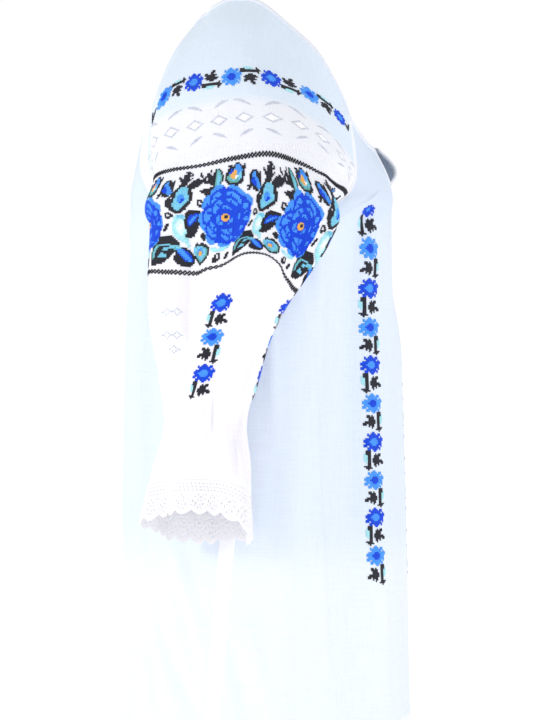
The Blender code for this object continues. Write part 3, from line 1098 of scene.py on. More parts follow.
@dataclass(frozen=True)
class StrandedCotton:
    """Mercerised embroidery cotton: a soft gloss along fine strands."""

    name: str
    colour: str

    def material(self) -> bpy.types.Material:
        """Builds one thread colour, a little uneven from stitch to stitch."""
        material, tree = start_material(self.name, roughness=0.62, specular=0.35, sheen=0.1)
        place = node(tree, "ShaderNodeTexCoord").outputs["Object"]
        # Stitches 1.5 mm apart take up dye and light unevenly, in patches of 2 or 3 stitches
        patches = node(tree, "ShaderNodeTexNoise", {"Vector": place, "Scale": 420.0, "Detail": 1.0})
        shade = spread(tree, patches.outputs[0], (0.3, 0.7), (0.88, 1.08))
        # Strands 0.25 mm thick, drawn at 0.5 mm so that they show
        strands = node(tree, "ShaderNodeTexNoise", {"Vector": place, "Scale": 2000.0, "Detail": 1.0})
        tinted = shaded(tree, linear(self.colour), shade)
        finish_material(tree, tinted, strands.outputs[0], strength=0.4, distance=0.0002)
        return material


@dataclass(frozen=True)
class CottonLace:
    """Bleached machine lace or folded tape: dense white thread, fully matt."""

    name: str
    colour: str
    thread_mm: float = 0.9

    def material(self) -> bpy.types.Material:
        """Builds the lace thread, with the loops of its knots as relief."""
        material, tree = start_material(self.name, roughness=0.85, specular=0.25, sheen=0.1)
        place = node(tree, "ShaderNodeTexCoord").outputs["Object"]
        links = {"Vector": place, "Scale": 1 / (self.thread_mm * MM)}
        knots = node(tree, "ShaderNodeTexVoronoi", links, distance="EUCLIDEAN").outputs["Distance"]
        # Painted shade: the thread is up to 7% darker between the knots' loops, in the hollows of the
        # relief
        tinted = shaded(tree, linear(self.colour), spread(tree, knots, (0.2, 0.8), (1.0, 0.93)))
        finish_material(tree, tinted, knots, strength=0.5, distance=0.0003, invert=True)
        return material


@dataclass(frozen=True)
class StudioFloor:
    """Pale matt studio floor, an acrylic sheet faintly lit from below."""

    colour: str = "#FAFAFC"
    glow: float = 0.42

    def material(self) -> bpy.types.Material:
        """Builds the floor."""
        material, tree = start_material("studio_floor", roughness=0.9, specular=0.5, sheen=0.0)
        shader = tree.nodes["Principled BSDF"]
        shader.inputs["Base Color"].default_value = linear(self.colour)
        shader.inputs["Emission Color"].default_value = linear(self.colour)
        shader.inputs["Emission Strength"].default_value = self.glow
        return material


def start_material(
    name: str, roughness: float, specular: float, sheen: float
) -> tuple[bpy.types.Material, bpy.types.NodeTree]:
    """Starts a material with the gloss of its surface, and gives it and its node tree."""
    material = bpy.data.materials.new(name)
    material.use_nodes = True
    inputs = material.node_tree.nodes["Principled BSDF"].inputs
    inputs["Roughness"].default_value = roughness
    inputs["Specular IOR Level"].default_value = specular
    inputs["Sheen Weight"].default_value = sheen
    return material, material.node_tree


def make_object(name: str, points: Grid, faces: list, materials: list) -> bpy.types.Object:
    """Puts a mesh into the scene.

    Args:
        name: The piece's name.
        points: Points in metres.
        faces: Faces as tuples of point numbers, pointing out.
        materials: The piece's materials, in slot order.

    Returns:
        The new object.
    """
    mesh = bpy.data.meshes.new(name)
    mesh.from_pydata(points.tolist(), [], faces)
    for material in materials:
        mesh.materials.append(material)
    made = bpy.data.objects.new(name, mesh)
    bpy.context.scene.collection.objects.link(made)
    return made


def finish_piece(piece: bpy.types.Object, smooth: bool = True) -> None:
    """Checks a mesh, shades it, and lets it ride on the blouse's one body."""
    piece.data.validate()
    piece.data.update()
    if smooth:
        piece.data.shade_smooth()
    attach(piece, "root")
    log.info("%s: %d triangles", piece.name, sum(len(p.vertices) - 2 for p in piece.data.polygons))


def edit_mesh(piece: bpy.types.Object, change: Callable[[bmesh.types.BMesh], None]) -> None:
    """Changes a piece's mesh with Blender's mesh tools."""
    work = bmesh.new()
    work.from_mesh(piece.data)
    change(work)
    work.to_mesh(piece.data)
    work.free()


def remove_loose(work: bmesh.types.BMesh) -> None:
    """Removes the points that no face uses."""
    loose = [vertex for vertex in work.verts if not vertex.link_faces]
    bmesh.ops.delete(work, geom=loose, context="VERTS")


def thicken(piece: bpy.types.Object, thickness: float) -> None:
    """Makes a piece's surface a closed shell, this many millimetres thick inwards."""
    wall = piece.modifiers.new("wall", "SOLIDIFY")
    wall.thickness = thickness * MM
    wall.offset = -1.0
    wall.use_even_offset = False
    bpy.ops.object.select_all(action="DESELECT")
    piece.select_set(True)
    bpy.context.view_layer.objects.active = piece
    bpy.ops.object.modifier_apply(modifier=wall.name)


@dataclass
class ClothMesh:
    """Grids of cloth joined into one mesh, with cloth coordinates and layer counts."""

    points: list = field(default_factory=list)
    faces: list = field(default_factory=list)
    uv: list = field(default_factory=list)
    doubled: list = field(default_factory=list)
    white_band_and_painted_light: list = field(default_factory=list)

    def add(self, grid: Grid, uv: Grid, doubled: Grid, white_band_and_painted_light: Grid, flip: bool) -> None:
        """Adds a grid of points.

        Args:
            grid: Points in metres, rows by columns.
            uv: Cloth millimetres of each point.
            doubled: 0 to 1 for each point, 1 where the cloth has two layers.
            white_band_and_painted_light: 0 to 1 for each point, 1 where the whitework band is whitest and
                the painted light strongest.
            flip: Whether the faces run the other way round.
        """
        start = len(self.points)
        rows, columns = grid.shape[:2]
        numbers = start + np.arange(rows * columns).reshape(rows, columns)
        self.points += grid.reshape(-1, 3).tolist()
        self.uv += uv.reshape(-1, 2).tolist()
        self.doubled += doubled.reshape(-1).tolist()
        self.white_band_and_painted_light += white_band_and_painted_light.reshape(-1).tolist()
        corners = [numbers[:-1, :-1], numbers[1:, :-1], numbers[1:, 1:], numbers[:-1, 1:]]
        if flip:
            corners = corners[::-1]
        self.faces += np.stack([c.ravel() for c in corners], -1).tolist()

    def build(self, name: str, thickness: float, material: bpy.types.Material) -> bpy.types.Object:
        """Makes the cloth one closed thin shell.

        Args:
            name: The piece's name.
            thickness: The shell's thickness in millimetres.
            material: Its cloth.

        Returns:
            The new piece.
        """
        piece = make_object(name, np.array(self.points), self.faces, [material])
        mesh = piece.data
        layer = mesh.uv_layers.new(name="cloth")
        corners = np.array([loop.vertex_index for loop in mesh.loops])
        layer.data.foreach_set("uv", np.array(self.uv)[corners].ravel())
        # The second attribute holds the whitework band and the painted light
        for label, values in (("doubled", self.doubled), ("white_band_and_painted_light", self.white_band_and_painted_light)):
            attribute = mesh.attributes.new(label, "FLOAT", "POINT")
            attribute.data.foreach_set("value", np.array(values, float))
        edit_mesh(piece, lambda work: bmesh.ops.remove_doubles(work, verts=work.verts, dist=0.02 * MM))
        thicken(piece, thickness)
        return piece


@dataclass
class Stitching:
    """Cross stitches on one cloth, each on its own cell of a counted grid."""

    cells: dict = field(default_factory=dict)

    def put(self, chart: Chart, column: int, row: int, swap: dict | None = None) -> None:
        """Puts a chart with its middle at a column and row.

        Args:
            chart: Rows of letters.
            column: Column of its middle.
            row: Row of its middle.
            swap: Letters to put in place of others.
        """
        left, top = column - len(chart[0]) // 2, row - len(chart) // 2
        for down, letters in enumerate(chart):
            for across, letter in enumerate(letters):
                letter = (swap or {}).get(letter, letter)
                if letter != ".":
                    self.cells[(left + across, top + down)] = letter

    def build(
        self, place: Callable[[Grid, Grid], Grid], heights: tuple[float, float, float]
    ) -> tuple[Grid, list, list]:
        """Makes the stitches: arms rise from four corners to the middle, hollow between.

        Args:
            place: Gives points for fractional columns, rows and a lift.
            heights: Lift of a stitch's corners, edge middles and middle, in millimetres.

        Returns:
            Points, faces and the letter of each face.
        """
        number: dict[tuple[int, int], int] = {}
        faces, letters = [], []
        ring = ((0, 0), (0, 1), (0, 2), (1, 2), (2, 2), (2, 1), (2, 0), (1, 0))
        for (column, row), letter in self.cells.items():
            x, y = 2 * column, 2 * row
            middle = number.setdefault((x + 1, y + 1), len(number))
            rim = [number.setdefault((x + i, y + j), len(number)) for i, j in ring]
            for corner in (1, 3, 5, 7):
                faces.append((middle, rim[corner], rim[(corner + 1) % 8], rim[(corner + 2) % 8]))
                letters.append(letter)
        keys = np.array(list(number), float)
        odd = keys.astype(int) % 2
        lift = np.choose(odd.sum(1), heights)
        return place(keys[:, 0] / 2, keys[:, 1] / 2, lift), faces, letters


def flower_column(flowers: int) -> Stitching:
    """Gives a column of flowers, dark and light by turns, with a stem and leaf below each."""
    work = Stitching()
    for index in range(flowers):
        row = index * FLOWER_PITCH
        work.put(FLOWER, 0, row, flower_swap(index % 2 == 0))
        stem = flipped(STEM_AND_LEAF) if index % 2 else STEM_AND_LEAF
        work.put(stem, 0, row + FLOWER_PITCH // 2)
    return work


def turned(chart: Chart) -> Chart:
    """Turns a chart for a column into one for a band that runs across."""
    return tuple("".join(row[column] for row in chart) for column in range(len(chart[0])))


def flipped(chart: Chart) -> Chart:
    """Swaps a chart's left and right."""
    return tuple(row[::-1] for row in chart)


def flower_swap(dark: bool) -> dict:
    """Gives a flower's petal and centre letters, dark or light."""
    return {"P": "D", "C": "M"} if dark else {"P": "M", "C": "D"}


@dataclass(frozen=True)
class Rose:
    """A counted rose: rings of round petals in two blues, inner over outer, and a gold centre."""

    half_width: float = 17.0
    half_height: float = 21.0
    # Each ring from the inside: petals, distance of their middles, radius, first angle
    rings: tuple = (
        (3, 0.16, 0.22, 0.5), (5, 0.36, 0.27, 0.1), (7, 0.52, 0.33, 0.6), (9, 0.63, 0.35, 0.2),
    )
    # Shares of its half size: how wavy it is, and the dark heart's radius
    wave: float = 0.04
    heart: float = 0.19
    # How much darker its lower right is, and by how much every petal's place varies, in radians
    shade: float = 0.28
    unevenness: float = 0.12

    def letter(self, column: int, row: int) -> str:
        """Gives the thread of one stitch, by its place from the rose's middle."""
        x = column / self.half_width + self.wave * math.sin(0.30 * row + 0.7)
        y = row / self.half_height + self.wave * math.sin(0.33 * column + 2.0)
        if abs(column) <= 2 and abs(row) <= 2 and abs(column) + abs(row) < 4:
            return "K" if (column, row) in ((0, -1), (1, -1), (1, 0), (0, 0)) else "O"
        if math.hypot(x, y) < self.heart:
            return "D"
        for count, middle, radius, first in self.rings:
            for petal in range(count):
                way = first + 2 * math.pi * petal / count
                way += self.unevenness * math.sin(3.0 * petal + first)
                right, up = math.cos(way), math.sin(way)
                from_x, from_y = x - middle * right, y - middle * up
                out, beside = from_x * right + from_y * up, from_y * right - from_x * up
                away = math.hypot(out, beside) / radius
                if away <= 1:
                    out = out / radius - self.shade * max(0.0, x + y - 0.25)
                    return self.petal(out, beside / radius, away, middle, petal)
        return "."

    def petal(self, out: float, beside: float, away: float, middle: float, number: int) -> str:
        """Gives a petal's thread: light at its tip, dark at its root, vein and sides.

        Args:
            out: Place along the petal, -1 at its root, 1 at its tip.
            beside: Place across the petal.
            away: Distance from the petal's middle.
            middle: Distance of the petal's middle from the rose's.
            number: The petal's number in its ring.

        Returns:
            The thread's letter.
        """
        if middle < 0.6:
            lit = away < 0.76 and out > (-0.02 if number % 2 else 0.28)
        else:
            lit = out > 0.02 and (away < 0.58 or out > 0.5)
        vein = abs(beside - 0.25 * math.cos(2.0 * number)) < 0.13 and out < 0.55
        return "M" if lit and not vein else "D"

    def chart(self) -> Chart:
        """Gives the rose as rows of letters."""
        columns = range(-int(self.half_width) - 1, int(self.half_width) + 2)
        rows = range(-int(self.half_height) - 1, int(self.half_height) + 2)
        return tuple("".join(self.letter(c, r) for c in columns) for r in rows)


# Lines of the sleeve's bands: around, down in millimetres
FLOWER_BAND_LINE = (
    (-1.0, 158), (-0.54, 134), (-0.44, 124), (-0.228, 115), (0.008, 110), (0.24, 101),
    (0.478, 90), (0.742, 68), (0.91, 42), (1.0, 30),
)
OPENWORK_LINE = (
    (-1.0, 178), (-0.535, 164), (-0.37, 162), (-0.223, 159), (-0.09, 155), (0.045, 152),
    (0.195, 148), (0.357, 145), (0.505, 144), (0.688, 141), (0.9, 124), (1.0, 112),
)
PANEL_TOP_LINE = (
    (-1.0, 186), (-0.57, 194), (-0.37, 197), (-0.185, 198), (-0.022, 193), (0.153, 188),
    (0.318, 192), (0.5, 194), (0.75, 180), (0.95, 154), (1.0, 147),
)
PANEL_MIDDLE_LINE = (
    (-1.0, 240), (-0.455, 240), (-0.2, 241), (-0.035, 246), (0.1, 243), (0.255, 250),
    (0.4, 249), (0.6, 244), (1.0, 236),
)
PANEL_BOTTOM_LINE = (
    (-1.0, 296), (-0.6, 288), (-0.387, 286), (-0.215, 290), (-0.073, 290), (0.01, 287),
    (0.075, 279), (0.14, 277), (0.242, 285), (0.418, 303), (0.6, 304), (1.0, 296),
)
# Where the bands' columns of stitches fall: column, around
FLOWER_BAND_COLUMNS = (
    (-100, -0.90), (-75, -0.675), (-50, -0.445), (-25, -0.228), (0, 0.008), (25, 0.24),
    (50, 0.478), (75, 0.742), (100, 1.02),
)
OPENWORK_COLUMNS = (
    (-102, -1.08), (-68, -0.71), (-51, -0.535), (-34, -0.37), (-17, -0.223), (0, -0.09),
    (17, 0.045), (34, 0.195), (51, 0.357), (68, 0.505), (85, 0.688), (102, 0.86), (119, 1.04),
)
# Rose panel's columns: column, around at its top, middle and bottom row
PANEL_COLUMNS = (
    (-124, -0.985, -0.985, -0.985), (-110, -0.88, -0.87, -0.86), (-83, -0.71, -0.68, -0.64),
    (-55, -0.505, -0.46, -0.41), (-40, -0.388, -0.322, -0.285), (-27, -0.275, -0.205, -0.193),
    (-14, -0.163, -0.118, -0.107), (0, -0.058, -0.035, 0.008), (14, 0.033, 0.046, 0.045),
    (27, 0.125, 0.090, 0.097), (41, 0.213, 0.168, 0.180), (55, 0.272, 0.255, 0.302),
    (70, 0.380, 0.350, 0.392), (85, 0.530, 0.465, 0.490), (110, 0.74, 0.72, 0.72),
    (130, 0.87, 0.87, 0.87), (148, 0.985, 0.985, 0.985),
)
PANEL_HALF_ROWS = 33
ROSE_PITCH = 55

# Rivers of flowers down a sleeve: row of stitches, down
RIVER_ROWS = ((-10, 309), (0, 322), (25, 351), (50, 383), (62, 398), (72, 410))
# Each river: down and around of its middle line
RIVERS = (
    ((300, 0.03), (322, 0.03), (351, 0.018), (383, -0.007), (398, -0.027), (412, -0.07)),
    ((300, 0.44), (333, 0.47), (355, 0.51), (383, 0.57), (412, 0.61)),
    ((300, 0.80), (350, 0.80), (412, 0.82)),
    ((300, -0.64), (350, -0.64), (412, -0.66)),
)
# The small white diamonds over the wrist, with rims of painted shade: their chart, and around and down of
# each
SMALL_DIAMOND: Chart = (
    "...S...",
    "..SWS..",
    "SSWWWSS",
    "..SWS..",
    "...S...",
)
WHITE_DIAMONDS = ((-0.255, 327), (-0.203, 327), (-0.255, 348), (-0.203, 348), (-0.218, 361))

# The front's columns of flowers: row of stitches, level, across
FRONT_COLUMN = (
    (-12, 0.70, -0.44), (0, 0.78, -0.392), (12, 0.885, -0.325), (25, 0.977, -0.282),
    (50, 1.083, -0.280), (75, 1.17, -0.278), (100, 1.25, -0.274), (125, 1.33, -0.270),
    (150, 1.407, -0.268), (175, 1.483, -0.268), (200, 1.557, -0.267), (225, 1.633, -0.267),
    (250, 1.712, -0.262),
)
STITCH = 1.5
FLOWER_PITCH = 25
# Lift of a stitch's corners, edge middles and middle, in millimetres
COLOURED_HEIGHTS = (0.35, 0.2, 0.95)
WHITE_HEIGHTS = (0.12, 0.08, 0.30)
# How far round a sleeve its bands are stitched, where 1 is the seam
STITCHED_TO = 0.985


def thread_materials() -> dict[str, bpy.types.Material]:
    """Builds one cotton for each letter of the charts."""
    return {
        thread.value: StrandedCotton(f"stranded_cotton_{thread.name.lower()}", colour).material()
        for thread, colour in THREAD_COLOURS.items()
    }


@dataclass
class SleeveEmbroidery:
    """All the counted work of one sleeve."""

    side: str
    cottons: dict
    heights: tuple = COLOURED_HEIGHTS
    # The garland's flowers by number, from the crest's own, and its end sprigs' column and row
    garland: range = range(-2, 4)
    front_end: tuple = (85, 3)
    back_end: tuple = (-61, 2)
    # The panel's repeats by number, from the crest's own rose
    repeats: range = range(-3, 4)
    river_flowers: int = 3
    parts: list = field(default_factory=list)

    @property
    def cloth(self) -> Cloth:
        """Gives the sleeve's cloth."""
        return SLEEVES[self.side]

    def flower_band(self) -> None:
        """Stitches the flower garland over the upper arm."""
        work = Stitching()
        stem = turned(STEM_AND_LEAF)
        for index in self.garland:
            column = index * FLOWER_PITCH
            work.put(FLOWER, column, 0, flower_swap(index % 2 != 0))
            if index != self.garland[-1]:
                work.put(stem[::-1] if index % 2 else stem, column + FLOWER_PITCH // 2, 0)
        work.put(GARLAND_END, *self.front_end)
        work.put(flipped(GARLAND_END), *self.back_end)

        def place(column: Grid, row: Grid, lift: Grid) -> Grid:
            """Gives points over the cloth for columns and rows of the garland."""
            around = curve(FLOWER_BAND_COLUMNS, 1, column)
            return self.cloth.points(curve(FLOWER_BAND_LINE, 1, around) + STITCH * row, around, lift)

        self.parts.append(work.build(place, self.heights))

    def rose_panel(self) -> None:
        """Stitches the panel of roses between its two black chain lines."""
        work = Stitching()
        rose = Rose().chart()
        first, last = int(PANEL_COLUMNS[0][0]), int(PANEL_COLUMNS[-1][0])
        for index in self.repeats:
            for motif, across, down in ROSE_COMPANIONS:
                work.put(motif, index * ROSE_PITCH + across, down)
        for index in self.repeats:
            work.put(rose, index * ROSE_PITCH, 0)
        limit = PANEL_HALF_ROWS - 1
        work.cells = {
            key: letter
            for key, letter in work.cells.items()
            if first <= key[0] < last and abs(key[1]) < limit
        }
        # The chains' stitches are half as wide and high as the others
        chains = Stitching()
        for top in (-2 * PANEL_HALF_ROWS - 4, 2 * PANEL_HALF_ROWS):
            for column in range(2 * first, 2 * last):
                for step, letters in enumerate(CHAIN):
                    if letters[column % len(letters)] != ".":
                        chains.cells[(column, top + step)] = "K"

        def place(column: Grid, row: Grid, lift: Grid) -> Grid:
            """Gives points over the cloth for columns and rows of the panel."""
            share = (row + PANEL_HALF_ROWS) / (2 * PANEL_HALF_ROWS)
            # A parabola through the top, middle and bottom rows
            weights = (2 * share - 1) * (share - 1), 4 * share * (1 - share), share * (2 * share - 1)
            around = sum(
                weight * curve(PANEL_COLUMNS, number, column)
                for number, weight in enumerate(weights, 1)
            )
            around = np.clip(around, -STITCHED_TO, STITCHED_TO)
            down = sum(
                weight * curve(table, 1, around)
                for table, weight in zip((PANEL_TOP_LINE, PANEL_MIDDLE_LINE, PANEL_BOTTOM_LINE), weights)
            )
            return self.cloth.points(down, around, lift)

        self.parts.append(work.build(place, self.heights))
        self.parts.append(chains.build(lambda c, r, lift: place(c / 2, r / 2, lift), self.heights))

    def rivers(self) -> None:
        """Stitches the rivers of flowers down the lower sleeve."""
        for middle in RIVERS:

            def place(column: Grid, row: Grid, lift: Grid, middle: tuple = middle) -> Grid:
                """Gives points over the cloth for columns and rows of one river."""
                down = curve(RIVER_ROWS, 1, row)
                centre = curve(middle, 1, down)
                around = centre + STITCH * column / self.cloth.speed(down, centre)
                return self.cloth.points(down, around, lift)

            self.parts.append(flower_column(self.river_flowers).build(place, self.heights))

    def build(self) -> bpy.types.Object:
        """Makes the coloured work one piece."""
        self.flower_band()
        self.rose_panel()
        self.rivers()
        return join_stitches(f"embroidery_{self.side}", self.parts, self.cottons, self.side == "left")


def join_stitches(name: str, parts: list, cottons: dict, mirrored: bool) -> bpy.types.Object:
    """Makes stitches from several grids one piece, with a material slot for each thread.

    Args:
        name: The piece's name.
        parts: Points, faces and letters of each grid.
        cottons: Thread materials by letter.
        mirrored: Whether the cloth is mirrored, so that faces run the other way.

    Returns:
        The new piece.
    """
    points = np.concatenate([part[0] for part in parts])
    faces, letters, start = [], [], 0
    for part_points, part_faces, part_letters in parts:
        faces += [tuple(number + start for number in face) for face in part_faces]
        letters += part_letters
        start += len(part_points)
    if mirrored:
        faces = [face[::-1] for face in faces]
    used = sorted(set(letters))
    piece = make_object(name, points, faces, [cottons[letter] for letter in used])
    slots = {letter: number for number, letter in enumerate(used)}
    piece.data.polygons.foreach_set("material_index", [slots[letter] for letter in letters])
    finish_piece(piece, smooth=False)
    return piece


@dataclass
class Openwork:
    """White work of one sleeve: diamonds between rows of shallow arches, and ribs.

    Its stitches are half as wide as the coloured ones. Its grey strokes are painted shade, for the shade
    in pulled holes.
    """

    side: str
    cottons: dict
    heights: tuple = WHITE_HEIGHTS
    # In coloured stitches: the arches' repeat, one arch's half width and drop, half of its
    # stroke's width at the ends, and what it gains to the middle
    repeat: int = 34
    arch_half: float = 12.5
    arch_drop: float = 4.2
    stroke_thin: float = 0.25
    stroke_swell: float = 0.72
    # Each row of arches: column and row of a crown, half of the opening there
    arches: tuple = ((10, -12.7, 1.8), (25, 7.6, 3.8))
    # A diamond's half width and half height, and where its rim of painted shade starts
    diamond: tuple = (6.0, 3.5)
    rim: float = 0.70
    # In half stitches: columns and rows of the band, rows of its ribs and how far apart they are
    columns: range = range(-192, 224)
    rows: range = range(-30, 28)
    rib_rows: range = range(33, 46)
    rib_pitch: int = 4

    def arch(self, column: float, row: float, shift: int, middle: float, gap: float) -> str:
        """Gives the thread of one stitch of a row of arches, open at their crowns.

        Args:
            column: The stitch's column.
            row: The stitch's row.
            shift: Column of an arch's crown.
            middle: Row of the crowns.
            gap: Half of the opening at a crown, in stitches.

        Returns:
            The letter, or a dot for none.
        """
        from_crown = (column - shift + self.repeat / 2) % self.repeat - self.repeat / 2
        share = (abs(from_crown) - gap) / (self.arch_half - gap)
        if not 0 <= share <= 1:
            return "."
        away = abs(row - (middle + self.arch_drop * (abs(from_crown) / self.arch_half) ** 2))
        half_stroke = self.stroke_thin + self.stroke_swell * math.sin(math.pi * share)
        # S is painted shade: the arches' strokes are pale grey for the shade in their pulled holes
        return "S" if away <= half_stroke else "."

    def letter(self, column: float, row: float) -> str:
        """Gives the thread of one stitch, or a dot for none."""
        pitch = self.repeat / 2
        across = (column + pitch / 2) % pitch - pitch / 2
        edge = abs(across) / self.diamond[0] + abs(row) / self.diamond[1]
        if edge <= 1.0:
            # The rim is painted shade in pale grey stitches. The middle is white satin.
            return "S" if edge > self.rim else "W"
        strokes = [self.arch(column, row, *arch) for arch in self.arches]
        return "S" if "S" in strokes else "."

    def build(self) -> bpy.types.Object:
        """Makes the white work one piece."""
        work = Stitching()
        for column in self.columns:
            for row in self.rows:
                letter = self.letter(column / 2, row / 2)
                if letter != ".":
                    work.cells[(column, row)] = letter
            if column % self.rib_pitch == 0:
                work.cells |= {(column, row): "W" for row in self.rib_rows}
        cloth = SLEEVES[self.side]

        def place(column: Grid, row: Grid, lift: Grid) -> Grid:
            """Gives points over the cloth for half columns and half rows of the band."""
            around = np.clip(curve(OPENWORK_COLUMNS, 1, column / 2), -STITCHED_TO, STITCHED_TO)
            return cloth.points(curve(OPENWORK_LINE, 1, around) + STITCH * row / 2, around, lift)

        parts = [work.build(place, self.heights)]
        for around_0, down_0 in WHITE_DIAMONDS:
            small = Stitching()
            small.put(SMALL_DIAMOND, 0, 0)

            def spot(column: Grid, row: Grid, lift: Grid, a: float = around_0, d: float = down_0) -> Grid:
                """Gives points over the cloth for columns and rows of one small diamond."""
                down = d + STITCH * row
                around = a + STITCH * column / cloth.speed(down, np.full_like(down, a))
                return cloth.points(down, around, lift)

            parts.append(small.build(spot, self.heights))
        return join_stitches(f"openwork_{self.side}", parts, self.cottons, self.side == "left")


@dataclass
class FrontEmbroidery:
    """Two columns of flowers down the front panel."""

    cottons: dict
    flowers: int = 10
    # The front's cloth is spread here, so its stitches are a little wider than high
    widening: float = 1.18
    heights: tuple = COLOURED_HEIGHTS

    def build(self) -> bpy.types.Object:
        """Makes both columns one piece."""
        parts = []
        for side in (-1, 1):
            cloth = FRONTS[side]

            def place(column: Grid, row: Grid, lift: Grid, side: int = side, cloth: Cloth = cloth) -> Grid:
                """Gives points over the cloth for columns and rows of one side's flowers."""
                level = curve(FRONT_COLUMN, 1, row)
                centre = -side * curve(FRONT_COLUMN, 2, row)
                wide = self.widening * STITCH * column / cloth.speed(level, centre)
                across = centre - side * wide
                return cloth.points(level, across, lift)

            points, faces, letters = flower_column(self.flowers).build(place, self.heights)
            if side > 0:
                faces = [face[::-1] for face in faces]
            parts.append((points, faces, letters))
        return join_stitches("embroidery_front", parts, self.cottons, False)


@dataclass
class SleeveCloth:
    """One raglan sleeve, from the neckline to the flared cuff."""

    side: str
    material: bpy.types.Material
    columns: int = 200
    thickness: float = 0.7
    # Widths where the cloth is doubled: beside the raglan seams, and at the cuff's edge
    fell: float = 7.0
    cuff_turning: float = 8.0
    # How much whiter the band of openwork and roses is, and how far it starts above its line
    band_white: float = 0.75
    band_above: float = 25.0
    # Rows down to the underarm, from there to where the gathers start, and from there on
    upper_rows: int = 60
    lower_rows: int = 40
    wrist_rows: int = 36
    gathers_start: float = 392.0

    def rows(self) -> Grid:
        """Gives the rows' places down the sleeve: wide apart above, close at the wrist."""
        upper = np.linspace(0, UNDERARM, self.upper_rows + 1)
        lower = np.linspace(UNDERARM, self.gathers_start, self.lower_rows + 1)[1:]
        wrist = np.linspace(self.gathers_start, CLOTH_END, self.wrist_rows + 1)[1:]
        return np.concatenate([upper, lower, wrist])

    def build(self) -> bpy.types.Object:
        """Makes the sleeve."""
        cloth = SLEEVES[self.side]
        down, around = np.meshgrid(self.rows(), np.linspace(-1, 1, self.columns + 1), indexing="ij")
        grid = cloth.points(down, around)
        seam = (1 - np.abs(around)) * SLEEVE_HALF_ROUND
        doubled = np.where(down < UNDERARM + 2, 1 - ease((seam - self.fell) / 2), 0.0)
        doubled = np.maximum(doubled, ease((down - CLOTH_END + self.cuff_turning) / 2))
        uv = np.stack([around * SLEEVE_HALF_ROUND, down], -1)
        mesh = ClothMesh()
        band = curve(OPENWORK_LINE, 1, around)
        # The band of openwork and roses is whiter, but for the sleeve's back
        upper = ease((down - band + self.band_above) / 12) * ease((around + 0.84) / 0.14)
        # Below the underarm the sleeve is painted lighter: painted light. The band's whiteness is its
        # whitework.
        white_band_and_painted_light = np.maximum(self.band_white * upper, ease((down - UNDERARM) / 60))
        mesh.add(grid, uv, doubled, white_band_and_painted_light, self.side == "left")
        piece = mesh.build(f"sleeve_cloth_{self.side}", self.thickness, self.material)
        finish_piece(piece)
        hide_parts(f"sleeve_{self.side}")
        return piece


@dataclass
class BodyCloth:
    """The front and back panels."""

    material: bpy.types.Material
    thickness: float = 0.7
    # Widths of the raglan seams' allowances on each panel, and of the turned hem
    front_allowance: float = 4.0
    back_allowance: float = 9.0
    hem: float = 11.5
    # How much painted light lightens the cloth below the chest, and again towards the hem
    chest_painted_light: float = 0.35
    hem_painted_light: float = 0.55
    # Rows above and below the underarm, and columns of half a panel
    upper_rows: int = 60
    lower_rows: int = 100
    front_columns: int = 55
    back_columns: int = 56

    def levels(self) -> Grid:
        """Gives the rows' levels, closer above the underarm."""
        upper = np.linspace(0, 1, self.upper_rows + 1)
        return np.concatenate([upper, np.linspace(1, 2, self.lower_rows + 1)[1:]])

    def doubled(self, level: Grid, across: Grid, allowance: float) -> Grid:
        """Gives where the cloth has two layers: seam allowances and turned hem."""
        half = np.where(level < 1, BODY_HALF_ROUND * 0.5, BODY_HALF_ROUND)
        seam = (1 - np.abs(across)) * half
        beside = np.where(level < 1, 1 - ease((seam - allowance) / 2), 0.0)
        turned = ease(((level - 2) * BODY_LEVEL + self.hem + 1) / 2)
        return np.maximum(beside, turned)

    def white_band_and_painted_light(self, level: Grid) -> Grid:
        """Gives the painted light on the cloth: 0 at the neckline, most at the hem."""
        chest, low = ease((level - 0.72) / 0.35), ease((level - 1.57) / 0.12)
        return self.chest_painted_light * chest + self.hem_painted_light * low

    def front(self) -> bpy.types.Object:
        """Makes the front panel, its halves joined below the slit."""
        mesh = ClothMesh()
        for side in (-1, 1):
            columns = np.linspace(0, side, self.front_columns + 1)
            level, across = np.meshgrid(self.levels(), columns, indexing="ij")
            grid = FRONTS[side].points(level, across)
            uv = np.stack([across * BODY_HALF_ROUND, level * BODY_LEVEL], -1)
            doubled = self.doubled(level, across, self.front_allowance)
            mesh.add(grid, uv, doubled, self.white_band_and_painted_light(level), side < 0)
        piece = mesh.build("front_cloth", self.thickness, self.material)
        finish_piece(piece)
        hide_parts("front_panel")
        return piece

    def back(self) -> bpy.types.Object:
        """Makes the back panel."""
        mesh = ClothMesh()
        columns = np.linspace(-1, 1, 2 * self.back_columns + 1)
        level, across = np.meshgrid(self.levels(), columns, indexing="ij")
        uv = np.stack([across * BODY_HALF_ROUND, level * BODY_LEVEL], -1)
        doubled = self.doubled(level, across, self.back_allowance)
        mesh.add(BACK.points(level, across), uv, doubled, self.white_band_and_painted_light(level), True)
        piece = mesh.build("back_cloth", self.thickness, self.material)
        finish_piece(piece)
        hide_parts("back_panel")
        return piece


